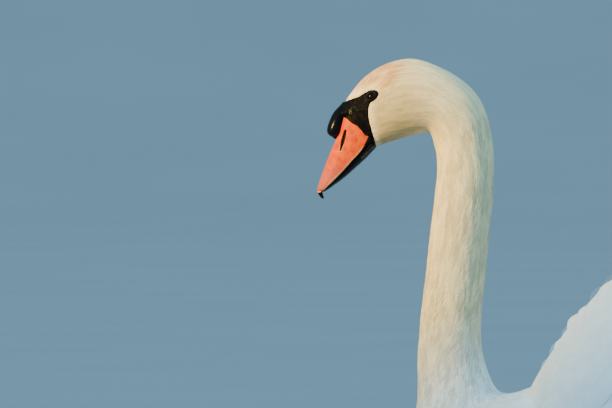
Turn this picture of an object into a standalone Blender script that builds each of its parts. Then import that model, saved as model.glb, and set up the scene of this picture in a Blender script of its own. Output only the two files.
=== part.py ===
"""A mute swan cob at life size, resting on its belly with its neck in an upright S, its bill pointing down
and its wings arched over its back. It is one rigid model, in metres, with +Z up. The bird faces -X, its left
side is -Y, and the origin is on the floor under the middle of the belly."""

import math

import bmesh
import bpy
from mathutils import Vector

MM = 0.001
GAP = 0.0003  # clear space between two pieces that touch

# How finely the shapes are faceted.
BODY_SIDES, BILL_SIDES, TAIL_SIDES, LEG_SIDES = 28, 16, 20, 12
RINGS_PER_STATION = 2
EYE_SEGMENTS = 14
CREASE_ANGLE = math.radians(50)

# Cross-sections: where a piece is widest (0 at its low side, 1 at its top), how square below, and above.
# A squareness of 2 is an ellipse.
UPPER_BILL_SECTION = (0.16, 3.2, 2.2)
NAIL_SECTION = (0.3, 2.6, 2.2)
LOWER_BILL_SECTION = (0.7, 2.2, 3.0)
KNOB_SECTION = (0.5, 2.0, 2.0)
TAIL_SECTION = (0.48, 2.0, 2.0)

# Lofting stations from the bill's base to the tail, in millimetres. Each is a flat slice across the body:
# back x, back z, breast x, breast z, half width, where it is widest (0 breast, 1 back), how square below.
HEAD_STATIONS = (
    (-389, 549, -353, 503, 18.5, 0.45, 2.2),  # base of the bill
    (-361, 582, -337, 509, 28.0, 0.45, 2.2),  # brow
    (-320, 598, -312, 516, 31.0, 0.45, 2.2),  # crown
    (-278, 586, -296, 518, 30.5, 0.48, 2.1),  # nape
    (-244, 559, -290, 505, 29.0, 0.50, 2.0),  # top of the neck
)
NECK_STATIONS = (
    (-229, 518, -287, 486, 28.0, 0.50, 2.0),
    (-226, 465, -289, 454, 28.0, 0.50, 2.0),
    (-233, 386, -297, 385, 29.0, 0.50, 2.0),
    (-240, 300, -307, 292, 31.5, 0.50, 2.0),
    (-229, 252, -309, 226, 42.0, 0.50, 2.0),  # foot of the neck
)
TRUNK_STATIONS = (
    (-211, 237, -321, 176, 64, 0.50, 2.0),  # dip between neck and wings
    (-170, 248, -338, 112, 108, 0.50, 2.1),
    (-132, 256, -316, 48, 139, 0.48, 2.2),  # breast
    (-80, 262, -243, 2, 158, 0.45, 2.25),
    (0, 264, -110, -5, 166, 0.43, 2.35),  # belly
    (100, 252, 30, -5, 158, 0.43, 2.35),
    (190, 228, 160, 8, 130, 0.45, 2.2),
    (270, 202, 258, 50, 92, 0.46, 2.2),  # vent
    (338, 182, 338, 104, 60, 0.48, 2.0),  # root of the tail
)
NECK_CUTS = (4, 6, 8, 10)  # stations where the head, the neck's lengths and the trunk part

# Wing stations, in millimetres: x, lower edge y and z, upper edge y and z, outward swell.
WING_STATIONS = (
    (-196, 104, 168, 40, 222, 4),  # shoulder, inside the trunk
    (-160, 148, 130, 66, 284, 30),
    (-98, 168, 106, 74, 359, 56),
    (-10, 178, 96, 80, 412, 74),
    (80, 174, 102, 80, 432, 78),  # top of the arch
    (170, 152, 124, 74, 408, 66),
    (250, 118, 156, 64, 352, 44),
    (325, 80, 192, 54, 282, 20),
    (402, 50, 226, 46, 238, 4),  # tips of the primaries
)
WING_COLUMNS, WING_ROWS = 66, 6
WING_THICK, WING_EDGE_THICK = 22 * MM, 2.4 * MM
WING_LEAN = 1.5  # above 1 the wing stands steep low down and leans in towards its upper edge
SECONDARY_TIPS = 22
SCALLOP = 7 * MM
SCALLOPS_FROM, SCALLOPS_GROW, SCALLOPS_FADE = 0.34, 0.2, 0.1  # shares of the wing's length

# Tail, in millimetres: x, half width, top z, bottom z.
TAIL_STATIONS = (
    (338, 60, 182, 104),
    (372, 66, 173, 124),
    (410, 60, 164, 141),
    (450, 42, 158, 149),
    (480, 20, 156, 152),
    (494, 5, 155.4, 152.6),
)

# Upper half of the bill, in millimetres: culmen x and z, edge x and z, half width.
UPPER_BILL = (
    (-388, 547, -355, 506, 17.5),
    (-394, 517, -365, 498, 17.0),
    (-401, 499, -379, 485, 16.2),
    (-408, 482, -393, 471, 16.0),
    (-413, 468, -404, 461, 15.2),
    (-416, 459, -411, 456, 10.5),
)
NAIL = (
    (-416.3, 458.4, -411.4, 455.4, 10.0),
    (-417.4, 454, -413, 451.6, 7.5),
    (-416, 449, -413, 448.6, 3.0),
)
LOWER_BILL = (
    (-357, 505, -351.5, 500, 16.5),
    (-370, 492, -365, 488, 15.0),
    (-387, 475.5, -383, 472, 13.5),
    (-402, 461.5, -399, 459, 11.5),
    (-409.5, 455.3, -407.5, 453.8, 6.5),
)
# Fleshy knob over the bill's base, in millimetres: front x and z, rear x and z, half width.
KNOB = (
    (-390, 552, -383, 553, 4.5),
    (-397, 543, -378, 545, 8.5),
    (-402.5, 532, -378, 534, 10.4),
    (-405.5, 521, -382, 525, 10.6),
    (-403.5, 514.5, -388, 517, 8.2),
    (-399, 512, -392, 513, 3.5),
)

EYE_RADIUS = 6.6 * MM
EYE = Vector((-357.5, 22.4, 557.5)) * MM  # centre of the right eye

# Leg and foot, in millimetres, folded flat under the belly with the toes forward.
LEG_BENDS = ((12, 126, 8), (60, 121, 8.5), (112, 114, 10), (131, 110, 17), (126, 106, 30), (108, 101, 46))
TOE_ROOT = Vector(LEG_BENDS[0]) * MM
SHANK_RADIUS = 7.5 * MM
FOOT_LENGTH, FOOT_SPREAD = 138 * MM, 31 * MM
WEB_THICK, TOE_RISE = 2.6 * MM, 6.0 * MM
FOOT_TURN = math.radians(4)
FOOT_COLUMNS, FOOT_ROWS = 16, 8
WEB_NOTCH, SIDE_TOES_SHORTER = 0.10, 0.10  # shares of the foot's length
ROOT_SPREAD = 0.22  # share of the full spread at the ankle
TOE_TAPER, TOE_NARROWNESS = 0.55, 6

PLUMAGE = ("plumage", (0.86, 0.84, 0.78, 1), 0.85)
BILL_ORANGE = ("bill_orange", (0.90, 0.28, 0.06, 1), 0.42)
BARE_BLACK = ("bare_black", (0.02, 0.02, 0.022, 1), 0.4)
EYE_DARK = ("eye_dark", (0.03, 0.018, 0.012, 1), 0.08)
FOOT_GREY = ("foot_grey", (0.07, 0.07, 0.068, 1), 0.6)


def clear_scene():
    for thing in list(bpy.data.objects):
        bpy.data.objects.remove(thing)


def material(finish):
    name, colour, roughness = finish
    made = bpy.data.materials.get(name)
    if made is None:
        made = bpy.data.materials.new(name)
        made.use_nodes = True
        shader = made.node_tree.nodes["Principled BSDF"]
        shader.inputs["Base Color"].default_value = colour
        shader.inputs["Roughness"].default_value = roughness
        made.diffuse_color = colour
    return made


def spline(rows, place):
    """The row at a fractional place in a table, on a Catmull-Rom curve through its rows."""
    last = len(rows) - 1
    start = min(int(place), last - 1)
    t = place - start
    a, b, c, d = (rows[min(max(start + k, 0), last)] for k in (-1, 0, 1, 2))
    return [
        0.5 * (2 * q + (r - p) * t + (2 * p - 5 * q + 4 * r - s) * t * t + (3 * q - p - 3 * r + s) * t**3)
        for p, q, r, s in zip(a, b, c, d)
    ]


def curved(value, power):
    return math.copysign(abs(value) ** (2 / power), value)


def ring(back, front, half_width, widest=0.5, below=2.0, above=2.0, sides=BODY_SIDES):
    """A closed loop round the line from front to back, half_width to each side of it at its widest point."""
    axis = back - front
    centre = front + axis * widest
    points = []
    for k in range(sides):
        angle = 2 * math.pi * k / sides
        power = above if math.cos(angle) > 0 else below
        reach = (1 - widest) if math.cos(angle) > 0 else widest
        point = centre + axis * (reach * curved(math.cos(angle), power))
        point.y += half_width * curved(math.sin(angle), power)
        points.append(point)
    return points


def body_ring(stations, place):
    back_x, back_z, front_x, front_z, half_width, widest, below = spline(stations, place)
    points = ring(
        Vector((back_x, 0, back_z)) * MM,
        Vector((front_x, 0, front_z)) * MM,
        half_width * MM,
        widest,
        below,
    )
    for point in points:
        point.z = max(point.z, 0)  # the belly lies flat on the floor
    return points


def plane_normal(points):
    middle = sum(points, Vector()) / len(points)
    quarter = len(points) // 4
    return (points[0] - middle).cross(points[quarter] - middle).normalized()


def drawn_in(points, towards):
    """The loop moved by half a gap off the plane that two pieces share."""
    normal = plane_normal(points)
    middle = sum(points, Vector()) / len(points)
    if normal.dot(towards - middle) < 0:
        normal.negate()
    return [point + normal * (GAP / 2) for point in points]


def new_object(name, mesh_maker, finish):
    bm = bmesh.new()
    mesh_maker(bm)
    bmesh.ops.recalc_face_normals(bm, faces=bm.faces)
    bmesh.ops.triangulate(bm, faces=bm.faces)  # a swollen copy then folds along the same edges
    mesh = bpy.data.meshes.new(name)
    bm.to_mesh(mesh)
    bm.free()
    mesh.materials.append(material(finish))
    mesh.shade_smooth()
    mesh.set_sharp_from_angle(angle=CREASE_ANGLE)
    made = bpy.data.objects.new(name, mesh)
    bpy.context.scene.collection.objects.link(made)
    return made


def fill_loft(bm, rings):
    loops = [[bm.verts.new(point) for point in points] for points in rings]
    for one, other in zip(loops, loops[1:]):
        for k in range(len(one)):
            following = (k + 1) % len(one)
            bm.faces.new((one[k], one[following], other[following], other[k]))
    bm.faces.new(loops[0])
    bm.faces.new(loops[-1])


def fill_slab(bm, upper_points, lower_points):
    """A closed slab between two grids of points, with a wall round its rim."""
    upper = [[bm.verts.new(point) for point in row] for row in upper_points]
    lower = [[bm.verts.new(point) for point in row] for row in lower_points]
    columns, rows = len(upper) - 1, len(upper[0]) - 1
    for grid in (upper, lower):
        for i in range(columns):
            for j in range(rows):
                bm.faces.new((grid[i][j], grid[i + 1][j], grid[i + 1][j + 1], grid[i][j + 1]))
    for i in range(columns):
        for j in (0, rows):
            bm.faces.new((upper[i][j], upper[i + 1][j], lower[i + 1][j], lower[i][j]))
    for j in range(rows):
        for i in (0, columns):
            bm.faces.new((upper[i][j], upper[i][j + 1], lower[i][j + 1], lower[i][j]))


def loft(name, rings, finish):
    """A closed body through the rings, its two ends drawn in by half a gap."""
    inner = [sum(points, Vector()) / len(points) for points in rings]
    rings[0] = drawn_in(rings[0], inner[1])
    rings[-1] = drawn_in(rings[-1], inner[-2])
    return new_object(name, lambda bm: fill_loft(bm, rings), finish)


def flesh_piece(name, first, last, stations):
    count = (last - first) * RINGS_PER_STATION
    places = [first + (last - first) * k / count for k in range(count + 1)]
    return loft(name, [body_ring(stations, place) for place in places], PLUMAGE)


def bill_loft(name, table, finish, section):
    rings = []
    for k in range((len(table) - 1) * RINGS_PER_STATION + 1):
        top_x, top_z, low_x, low_z, half_width = spline(table, k / RINGS_PER_STATION)
        top = Vector((top_x, 0, top_z)) * MM
        low = Vector((low_x, 0, low_z)) * MM
        rings.append(ring(top, low, half_width * MM, *section, BILL_SIDES))
    return loft(name, rings, finish)


def swollen_copy(source, swell):
    """A hidden copy of a piece, larger by swell all round, for cutting its neighbours."""
    bm = bmesh.new()
    bm.from_mesh(source.data)
    bm.normal_update()
    for vert in bm.verts:
        vert.co += vert.normal * swell
    mesh = bpy.data.meshes.new(source.name + "_cutter")
    bm.to_mesh(mesh)
    bm.free()
    cutter = bpy.data.objects.new(source.name + "_cutter", mesh)
    bpy.context.scene.collection.objects.link(cutter)
    cutter.hide_render = True
    cutter.display_type = "WIRE"
    return cutter


def cut_by(piece, cutter):
    step = piece.modifiers.new("cut_by_" + cutter.name, "BOOLEAN")
    step.operation = "DIFFERENCE"
    step.solver = "EXACT"
    step.object = cutter


def ball(name, centre, radius, finish):
    def fill(bm):
        rows = EYE_SEGMENTS // 2 + 2
        bmesh.ops.create_uvsphere(bm, u_segments=EYE_SEGMENTS, v_segments=rows, radius=radius)
        bmesh.ops.translate(bm, verts=bm.verts, vec=centre)

    return new_object(name, fill, finish)


def make_flesh():
    """Head, three lengths of neck and trunk: one long body in slices, parted at flat slices."""
    stations = HEAD_STATIONS + NECK_STATIONS + TRUNK_STATIONS
    head_end, upper_end, middle_end, neck_end = NECK_CUTS
    head = flesh_piece("head", 0, head_end, stations)
    flesh_piece("neck_upper", head_end, upper_end, stations)
    flesh_piece("neck_middle", upper_end, middle_end, stations)
    flesh_piece("neck_lower", middle_end, neck_end, stations)
    trunk = flesh_piece("trunk", neck_end, len(stations) - 1, stations)
    return head, trunk


def make_bill(head):
    upper = bill_loft("bill_upper", UPPER_BILL, BILL_ORANGE, UPPER_BILL_SECTION)
    bill_loft("bill_nail", NAIL, BARE_BLACK, NAIL_SECTION)
    lower = bill_loft("bill_lower", LOWER_BILL, BARE_BLACK, LOWER_BILL_SECTION)
    for piece, neighbour in ((upper, head), (lower, head), (lower, upper)):
        cut_by(piece, swollen_copy(neighbour, GAP))
    return upper


def make_knob(head, upper):
    knob = bill_loft("bill_knob", KNOB, BARE_BLACK, KNOB_SECTION)
    for neighbour in (head, upper):
        cut_by(knob, swollen_copy(neighbour, GAP))


def make_eyes(head):
    for side, sign in (("right", 1), ("left", -1)):
        centre = Vector((EYE.x, sign * EYE.y, EYE.z))
        ball("eye_" + side, centre, EYE_RADIUS, EYE_DARK)
        socket = ball("socket_" + side, centre, EYE_RADIUS + GAP, EYE_DARK)
        socket.hide_render = True
        socket.display_type = "WIRE"
        cut_by(head, socket)


def make_tail():
    rings = []
    for k in range((len(TAIL_STATIONS) - 1) * RINGS_PER_STATION + 1):
        x, half_width, top, bottom = spline(TAIL_STATIONS, k / RINGS_PER_STATION)
        upper_point, lower_point = Vector((x, 0, top)) * MM, Vector((x, 0, bottom)) * MM
        rings.append(ring(upper_point, lower_point, half_width * MM, *TAIL_SECTION, TAIL_SIDES))
    loft("tail", rings, PLUMAGE)


def wing_point(along, up, sign):
    """A point on the outer face: along runs from shoulder to primary tips, up from the lower edge to the top."""
    place = along * (len(WING_STATIONS) - 1)
    x, low_y, low_z, top_y, top_z, swell = (value * MM for value in spline(WING_STATIONS, place))
    lobes = abs(math.sin(math.pi * SECONDARY_TIPS * along))
    fade = max(0.0, min(1.0, (along - SCALLOPS_FROM) / SCALLOPS_GROW, (1 - along) / SCALLOPS_FADE))
    top_z -= SCALLOP * (1 - lobes) * fade
    bow = math.sin(math.pi * up)
    y = low_y + (top_y - low_y) * up**WING_LEAN + swell * bow
    z = low_z + (top_z - low_z) * up
    return Vector((x, sign * y, z))


def wing_outward(along, up, sign):
    step = 0.004
    a0, a1 = max(along - step, 0), min(along + step, 1)
    u0, u1 = max(up - step, 0), min(up + step, 1)
    along_it = wing_point(a1, up, sign) - wing_point(a0, up, sign)
    up_it = wing_point(along, u1, sign) - wing_point(along, u0, sign)
    normal = along_it.cross(up_it).normalized()
    return normal if normal.y * sign > 0 else -normal


def wing_thickness(along, up):
    """Thickest low in the wing's middle, where the arm and hand are, and thin all round the edge."""
    middle = math.sin(math.pi * up**0.7) * math.sin(math.pi * along**0.8)
    return WING_EDGE_THICK + (WING_THICK - WING_EDGE_THICK) * max(middle, 0) ** 0.6


def make_wing(side, sign, trunk_cutter):
    outer, inner = [], []
    for i in range(WING_COLUMNS + 1):
        along = i / WING_COLUMNS
        ups = [j / WING_ROWS for j in range(WING_ROWS + 1)]
        outer.append([wing_point(along, up, sign) for up in ups])
        inner.append(
            [
                point - wing_outward(along, up, sign) * wing_thickness(along, up)
                for point, up in zip(outer[-1], ups)
            ]
        )
    wing = new_object("wing_" + side, lambda bm: fill_slab(bm, outer, inner), PLUMAGE)
    cut_by(wing, trunk_cutter)


def leg_rings(sign):
    """Loops round the shank from the toes to the thigh, laid on the floor where they would pass below it."""
    steps = (len(LEG_BENDS) - 1) * RINGS_PER_STATION
    middles = [Vector(spline(LEG_BENDS, k / RINGS_PER_STATION)) * MM for k in range(steps + 1)]
    rings = []
    for k, middle in enumerate(middles):
        axis = (middles[min(k + 1, steps)] - middles[max(k - 1, 0)]).normalized()
        across = axis.cross(Vector((0, 1, 0))).normalized()
        other = across.cross(axis)
        loop = []
        for j in range(LEG_SIDES):
            angle = 2 * math.pi * j / LEG_SIDES
            point = middle + (across * math.cos(angle) + other * math.sin(angle)) * SHANK_RADIUS
            loop.append(Vector((point.x, sign * point.y, max(point.z, 0))))
        rings.append(loop)
    return rings


def make_leg(side, sign, trunk_cutter):
    cut_by(loft("leg_" + side, leg_rings(sign), FOOT_GREY), trunk_cutter)


def foot_point(across, forward, sign, top):
    """A point of the web: across runs from one side toe, -1, past the middle one, 0, to the other, 1."""
    toe = 0.5 + 0.5 * math.cos(2 * math.pi * across)  # 1 along each toe, 0 midway between two
    reach = FOOT_LENGTH * (1 - WEB_NOTCH + WEB_NOTCH * (2 * toe - 1) * forward)
    reach *= 1 - SIDE_TOES_SHORTER * across * across
    spread = FOOT_SPREAD * (ROOT_SPREAD + (1 - ROOT_SPREAD) * forward)
    rise = TOE_RISE * toe**TOE_NARROWNESS * (1 - TOE_TAPER * forward)
    z = WEB_THICK + rise if top else 0
    x, y = -reach * forward, sign * spread * across
    turn = -sign * FOOT_TURN
    turned = Vector((x * math.cos(turn) - y * math.sin(turn), x * math.sin(turn) + y * math.cos(turn), z))
    return turned + Vector((TOE_ROOT.x - SHANK_RADIUS - GAP, sign * TOE_ROOT.y, 0))


def make_foot(side, sign):
    def face_grid(top):
        return [
            [foot_point(2 * i / FOOT_COLUMNS - 1, j / FOOT_ROWS, sign, top) for j in range(FOOT_ROWS + 1)]
            for i in range(FOOT_COLUMNS + 1)
        ]

    new_object("foot_" + side, lambda bm: fill_slab(bm, face_grid(True), face_grid(False)), FOOT_GREY)


def main():
    clear_scene()
    head, trunk = make_flesh()
    upper = make_bill(head)
    make_knob(head, upper)
    make_eyes(head)
    make_tail()
    trunk_cutter = swollen_copy(trunk, GAP)
    for side, sign in (("right", 1), ("left", -1)):
        make_wing(side, sign, trunk_cutter)
        make_leg(side, sign, trunk_cutter)
        make_foot(side, sign)


main()
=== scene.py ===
"""The looks of a mute swan cob at life size: skin, bare face, bill, eyes, feet and a coat of feathers.

Lengths are in metres unless a name or table says millimetres, and +Z is up. The bird faces -X, its left side
is -Y, and it rests on its belly on the floor at z = 0.
"""

import math
import time

import bmesh
import bpy
import numpy as np
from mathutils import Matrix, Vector


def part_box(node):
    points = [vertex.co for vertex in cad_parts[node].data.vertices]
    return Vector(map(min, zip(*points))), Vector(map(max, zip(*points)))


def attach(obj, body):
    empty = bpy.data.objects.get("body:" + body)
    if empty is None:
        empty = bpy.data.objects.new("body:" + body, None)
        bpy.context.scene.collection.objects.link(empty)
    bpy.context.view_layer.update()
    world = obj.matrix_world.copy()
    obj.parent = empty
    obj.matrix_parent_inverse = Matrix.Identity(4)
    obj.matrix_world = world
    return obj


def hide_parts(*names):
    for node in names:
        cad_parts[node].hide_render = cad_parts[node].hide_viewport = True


bl_info = {
    "name": "Mute Swan",
    "version": (1, 0, 0),
    "blender": (4, 5, 0),
    "location": "View3D > Sidebar > Swan",
    "description": "Skin, bill, eyes, feet and feathers of a life-size mute swan, and its stage",
    "category": "Add Mesh",
}

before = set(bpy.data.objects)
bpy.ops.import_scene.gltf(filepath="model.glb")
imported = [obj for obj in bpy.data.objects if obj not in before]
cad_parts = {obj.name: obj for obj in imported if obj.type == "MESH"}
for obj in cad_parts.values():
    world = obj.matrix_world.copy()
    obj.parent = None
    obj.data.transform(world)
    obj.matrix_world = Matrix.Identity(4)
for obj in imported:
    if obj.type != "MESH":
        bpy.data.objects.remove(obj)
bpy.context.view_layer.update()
MM = 0.001
SIDES = (("right", 1), ("left", -1))

# Body stations from the bill's base to the tail's tip, in millimetres. Each is a flat slice across the body:
# back x, back z, breast x, breast z, half width, where it is widest (0 breast, 1 back), how square below.
BODY_STATIONS = (
    (-389, 549, -353, 503, 18.5, 0.45, 2.2),  # 0, base of the bill
    (-361, 582, -337, 509, 28.0, 0.45, 2.2),
    (-320, 598, -312, 516, 31.0, 0.45, 2.2),  # 2, crown
    (-278, 586, -296, 518, 30.5, 0.48, 2.1),
    (-244, 559, -290, 505, 29.0, 0.50, 2.0),  # 4, top of the neck
    (-229, 518, -287, 486, 28.0, 0.50, 2.0),
    (-226, 465, -289, 454, 28.0, 0.50, 2.0),
    (-233, 386, -297, 385, 29.0, 0.50, 2.0),
    (-240, 300, -307, 292, 31.5, 0.50, 2.0),
    (-229, 252, -309, 226, 42.0, 0.50, 2.0),  # 9, foot of the neck
    (-211, 237, -321, 176, 64, 0.50, 2.0),
    (-170, 248, -338, 112, 108, 0.50, 2.1),
    (-132, 256, -316, 48, 139, 0.48, 2.2),  # 12, breast
    (-80, 262, -243, 2, 158, 0.45, 2.25),
    (0, 264, -110, -5, 166, 0.43, 2.35),  # 14, belly
    (100, 252, 30, -5, 158, 0.43, 2.35),
    (190, 228, 160, 8, 130, 0.45, 2.2),
    (270, 202, 258, 50, 92, 0.46, 2.2),  # 17, vent
    (338, 182, 338, 104, 60, 0.48, 2.0),  # 18, root of the tail
    (372, 173, 372, 124, 66, 0.48, 2.0),
    (410, 164, 410, 141, 60, 0.48, 2.0),
    (450, 158, 450, 149, 42, 0.48, 2.0),
    (480, 156, 480, 152, 20, 0.48, 2.0),
    (494, 155.4, 494, 152.6, 5, 0.48, 2.0),  # 23, tip of the tail
)

# The coat at places along the body stations, in millimetres: place, feather length, feather width, depth.
COAT_SIZES = (
    (0, 4.4, 1.7, 0.45),
    (1, 5.8, 1.8, 0.55),
    (2, 8, 2.1, 0.75),
    (3, 10.5, 2.4, 1.1),
    (4, 13, 2.8, 1.5),
    (6, 16, 3.2, 2.0),
    (8, 17, 3.6, 2.2),
    (9, 19, 6, 2.5),
    (10, 23, 10, 3.0),
    (11, 28, 15, 3.4),
    (12, 34, 20, 3.8),
    (13, 38, 24, 4.0),
    (15, 40, 26, 4.0),
    (17, 36, 22, 3.2),
    (20, 34, 18, 1.8),
    (23, 30, 14, 0.9),
)

# How far the body's feathers lean towards the breast at places along the body stations, in radians.
COAT_LEAN = ((0, 0.0), (4, 0.0), (5.5, 0.08), (8, 0.3), (10.3, 0.25), (12.3, 0.05), (23, 0.0))

# Wing stations, in millimetres: x, lower edge y and z, upper edge y and z, outward swell.
WING_STATIONS = (
    (-196, 104, 168, 40, 222, 4),  # shoulder, inside the trunk
    (-160, 148, 130, 66, 284, 30),
    (-98, 168, 106, 74, 359, 56),
    (-10, 178, 96, 80, 412, 74),
    (80, 174, 102, 80, 432, 78),  # top of the arch
    (170, 152, 124, 74, 408, 66),
    (250, 118, 156, 64, 352, 44),
    (325, 80, 192, 54, 282, 20),
    (402, 50, 226, 46, 238, 4),  # tips of the primaries
)
WING_THICK, WING_EDGE_THICK = 22 * MM, 2.4 * MM
WING_LEAN = 1.5  # above 1 the wing stands steep low down and leans in towards its upper edge

# How far up the wing its arm and its small coverts reach, at shares of the way from shoulder to tip.
ARM_TOP = ((0, 0.30, 0.40, 1), (0.96, 0.96, 0.75, 0.70))
COVERTS_TOP = ((0, 0.30, 0.42, 1), (0.95, 0.93, 0.66, 0.56))
PRIMARY_TIPS = ((0.985, 0.34), (0.99, 0.46), (0.995, 0.58), (1.0, 0.72), (0.99, 0.86))

# Height of the tail's middle at places along it, and how its fan falls, sweeps back, narrows and is layered.
TAIL_RIDGE = ((0.338, 0.372, 0.41, 0.45, 0.494), (0.160, 0.158, 0.156, 0.155, 0.154))
TAIL_FALL, TAIL_SWEEP, TAIL_LAYER = 6 * MM, 85 * MM, 5 * MM
TAIL_QUILL_WIDTH = 25 * MM
TAIL_ROOT_IN, TAIL_ROOT_SPREAD = 30 * MM, 0.28

SKIN_CLEARANCE, COAT_CLEARANCE = 0.5 * MM, 0.2 * MM  # least heights over the floor
# painted shade: the darkening in the neck's furrows fades out between these body stations
FURROWS_END = (8.4, 10.3)  # body stations between which the neck's furrows fade
DENSEST = 4.0e6  # feather roots in a square metre, more than any spacing allows
LEAST_GROWTH = 0.55  # ground that grows less than this share stays bare

# The width and length of the waves in the coat of head and body, and the height of the body's.
HEAD_WAVES, BODY_WAVES = (3 * MM, 14 * MM), (30 * MM, 60 * MM)
BODY_WAVE_HEIGHT = 0.8 * MM

# Length, width and depth of the smallest coverts in millimetres, and what the biggest have over that.
COVERT_LEAST, COVERT_MORE = (27, 18, 1.3), (15, 10, 0.5)

# The lie of the wing's feathers, at even steps from shoulder to tip: degrees from backwards to upwards.
WING_HEADINGS = (40, 48, 58, 50, 28, 5)

# Bill, in millimetres: culmen x and z, edge x and z, half width.
# Its sections: where it is widest (0 low, 1 high), how square below, how square above.
UPPER_BILL = (
    (-388, 547, -355, 506, 17.5),
    (-394, 517, -365, 498, 17.0),
    (-401, 499, -379, 485, 16.2),
    (-408, 482, -393, 471, 16.0),
    (-413, 468, -404, 461, 15.2),
    (-416, 459, -411, 456, 10.5),
)
NAIL = (
    (-416.3, 458.4, -411.4, 455.4, 10.0),
    (-416.2, 453.6, -410.4, 451.4, 7.5),
    (-413.4, 449.0, -409.4, 448.0, 3.4),
)
LOWER_BILL = (
    (-359.5, 507.5, -354, 501.6, 15.6),
    (-372, 494.4, -365.5, 489.6, 14.2),
    (-389, 477.8, -383, 473.6, 12.8),
    (-404, 463.6, -399, 461.2, 11.0),
    (-411, 457, -407.8, 455.2, 6.2),
)
KNOB = (
    (-390.5, 549.5, -384.5, 550.5, 4.0),
    (-397, 542.5, -381, 544, 8.2),
    (-403, 532.5, -385, 534, 10.2),
    (-406.2, 521.5, -388.5, 523.5, 10.6),
    (-404.4, 516, -391, 518, 8.8),
    (-400, 513.4, -394, 514.4, 3.8),
)
UPPER_BILL_SECTION = (0.16, 3.2, 2.2)
NAIL_SECTION = (0.3, 2.6, 2.2)
LOWER_BILL_SECTION = (0.7, 2.2, 3.0)
KNOB_SECTION = (0.5, 2.0, 2.0)

# Outlines seen from the side, in millimetres: x and z.
BARE_FACE = (
    (-392, 545), (-389.5, 550), (-383.5, 553.2), (-378.2, 554.9), (-370.8, 557.6), (-364.6, 561.1),
    (-360.8, 563.2), (-355.9, 564), (-351.8, 563), (-350.2, 560), (-352, 556.6), (-355.5, 553.4),
    (-359.6, 550), (-361.2, 544), (-361.2, 537), (-359.9, 529), (-357.6, 520), (-355.4, 512),
    (-353.6, 505), (-353, 500), (-360, 499), (-381, 530),
)  # fmt: skip
# A body that fills the corner between the knob and the bare face, in the knob's own terms.
SADDLE = (
    (-387.5, 549.5, -377, 552.5, 5.0),
    (-391, 544.5, -372, 548, 10.5),
    (-393, 539.5, -371, 542.5, 13),
    (-391, 536, -376, 538.5, 11.5),
    (-388.5, 534.5, -381, 535.5, 7),
)
ORANGE_FIELD = (
    (-392, 541), (-389.9, 536.3), (-384.5, 533.6), (-379, 529), (-372.6, 525.5), (-366, 520), (-360.5, 514.5),
    (-361, 513.5), (-368.3, 499.6), (-379.1, 487.7), (-389.9, 475.8), (-399.6, 466.1), (-408.4, 457.2),
    (-411.5, 454.7), (-415.5, 453.8), (-421, 456), (-428, 464), (-428, 545),
)  # fmt: skip
NOSTRIL = ((-386.0, 520.4), (-391.3, 499.2))
GAPE_LINE = ((-353.5, 506.0), (-368.5, 491.2))

# Legs folded flat under the belly, in millimetres, from the toes to the thigh, and the webbed feet.
LEG_BENDS = (
    (-12, 127.5, 4.5), (12, 126, 8), (60, 121, 8.5), (112, 114, 10), (131, 110, 17), (126, 106, 30),
    (108, 101, 46),
)  # fmt: skip
SHANK_RADIUS = 7.5 * MM
FOOT_LENGTH, FOOT_SPREAD = 138 * MM, 31 * MM
WEB_THICK, TOE_RISE = 2.6 * MM, 6.0 * MM
FOOT_TURN = math.radians(4)
WEB_NOTCH, SIDE_TOES_SHORTER = 0.10, 0.10  # shares of the foot's length
ROOT_SPREAD = 0.22  # share of the full spread at the ankle
TOE_TAPER, TOE_NARROWNESS = 0.55, 6
CLAW_RADIUS, CLAW_ROOT, CLAW_DROP = 0.24, 0.985, 2.6 * MM  # share of its length, of the toe's, and a fall

# Default colours of the markings, and the round patches of three of them: centre, two radii and strength.
MARKING_COLOURS = (
    ("White", (0.80, 0.81, 0.80)),
    ("Cream", (0.80, 0.70, 0.55)),
    ("Buff", (0.58, 0.41, 0.18)),
    ("Crown", (0.68, 0.29, 0.08)),
    ("Stain", (0.30, 0.19, 0.06)),
    ("Pale", (0.96, 0.76, 0.46)),
)
MARKING_SPOTS = (
    ("Buff", (-0.346, 0, 0.540), 0.034, 0.074, 1.0),
    ("Crown", (-0.354, 0, 0.586), 0.026, 0.046, 0.9),
    ("Stain", (-0.335, 0, 0.508), 0.006, 0.028, 0.6),
)
CROWN_STREAKS = {"Centre": (-0.350, 0, 0.585), "Inner": 0.03, "Outer": 0.06}
KNOB_JOINT = {"Centre": (-0.390, 0, 0.541), "Inner": 0.014, "Outer": 0.026}

# Fine strands round the middle of the head, x and z, and the planes along which the pale rims run.
HEAD_MIDDLE = (-0.318, 0.545)
STRAND_WIDTH, STRAND_DEPTH, STRANDS_PER_TURN = 2.0 * MM, 2.6 * MM, 2.6
RAGGED_EDGE = 12 * MM
BROW_PLANE = ((-0.34, 0, 0.94), 0.6508)
REAR_PLANE = ((0.98, 0, 0.194), -0.2480)

EYE_FORWARD = (-0.86, 0, -0.51)
PUPIL_COLOUR = (0.004, 0.003, 0.004, 1)
EYE_RIM_COLOUR = (0.006, 0.005, 0.007, 1)

FILL_AIM, FILL_DISTANCE, FILL_SIZE = (-0.1, 0, 0.3), 3.5, 2.4


# ---------------------------------------------------------------- numbers


def smooth(low, high, value):
    """0 at low, 1 at high, and an even ease between them."""
    t = np.clip((value - low) / (high - low), 0, 1)
    return t * t * (3 - 2 * t)


def curved(value, power):
    return np.sign(value) * np.abs(value) ** (2 / power)


def unit(vectors):
    return vectors / np.maximum(np.linalg.norm(vectors, axis=-1, keepdims=True), 1e-12)


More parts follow.
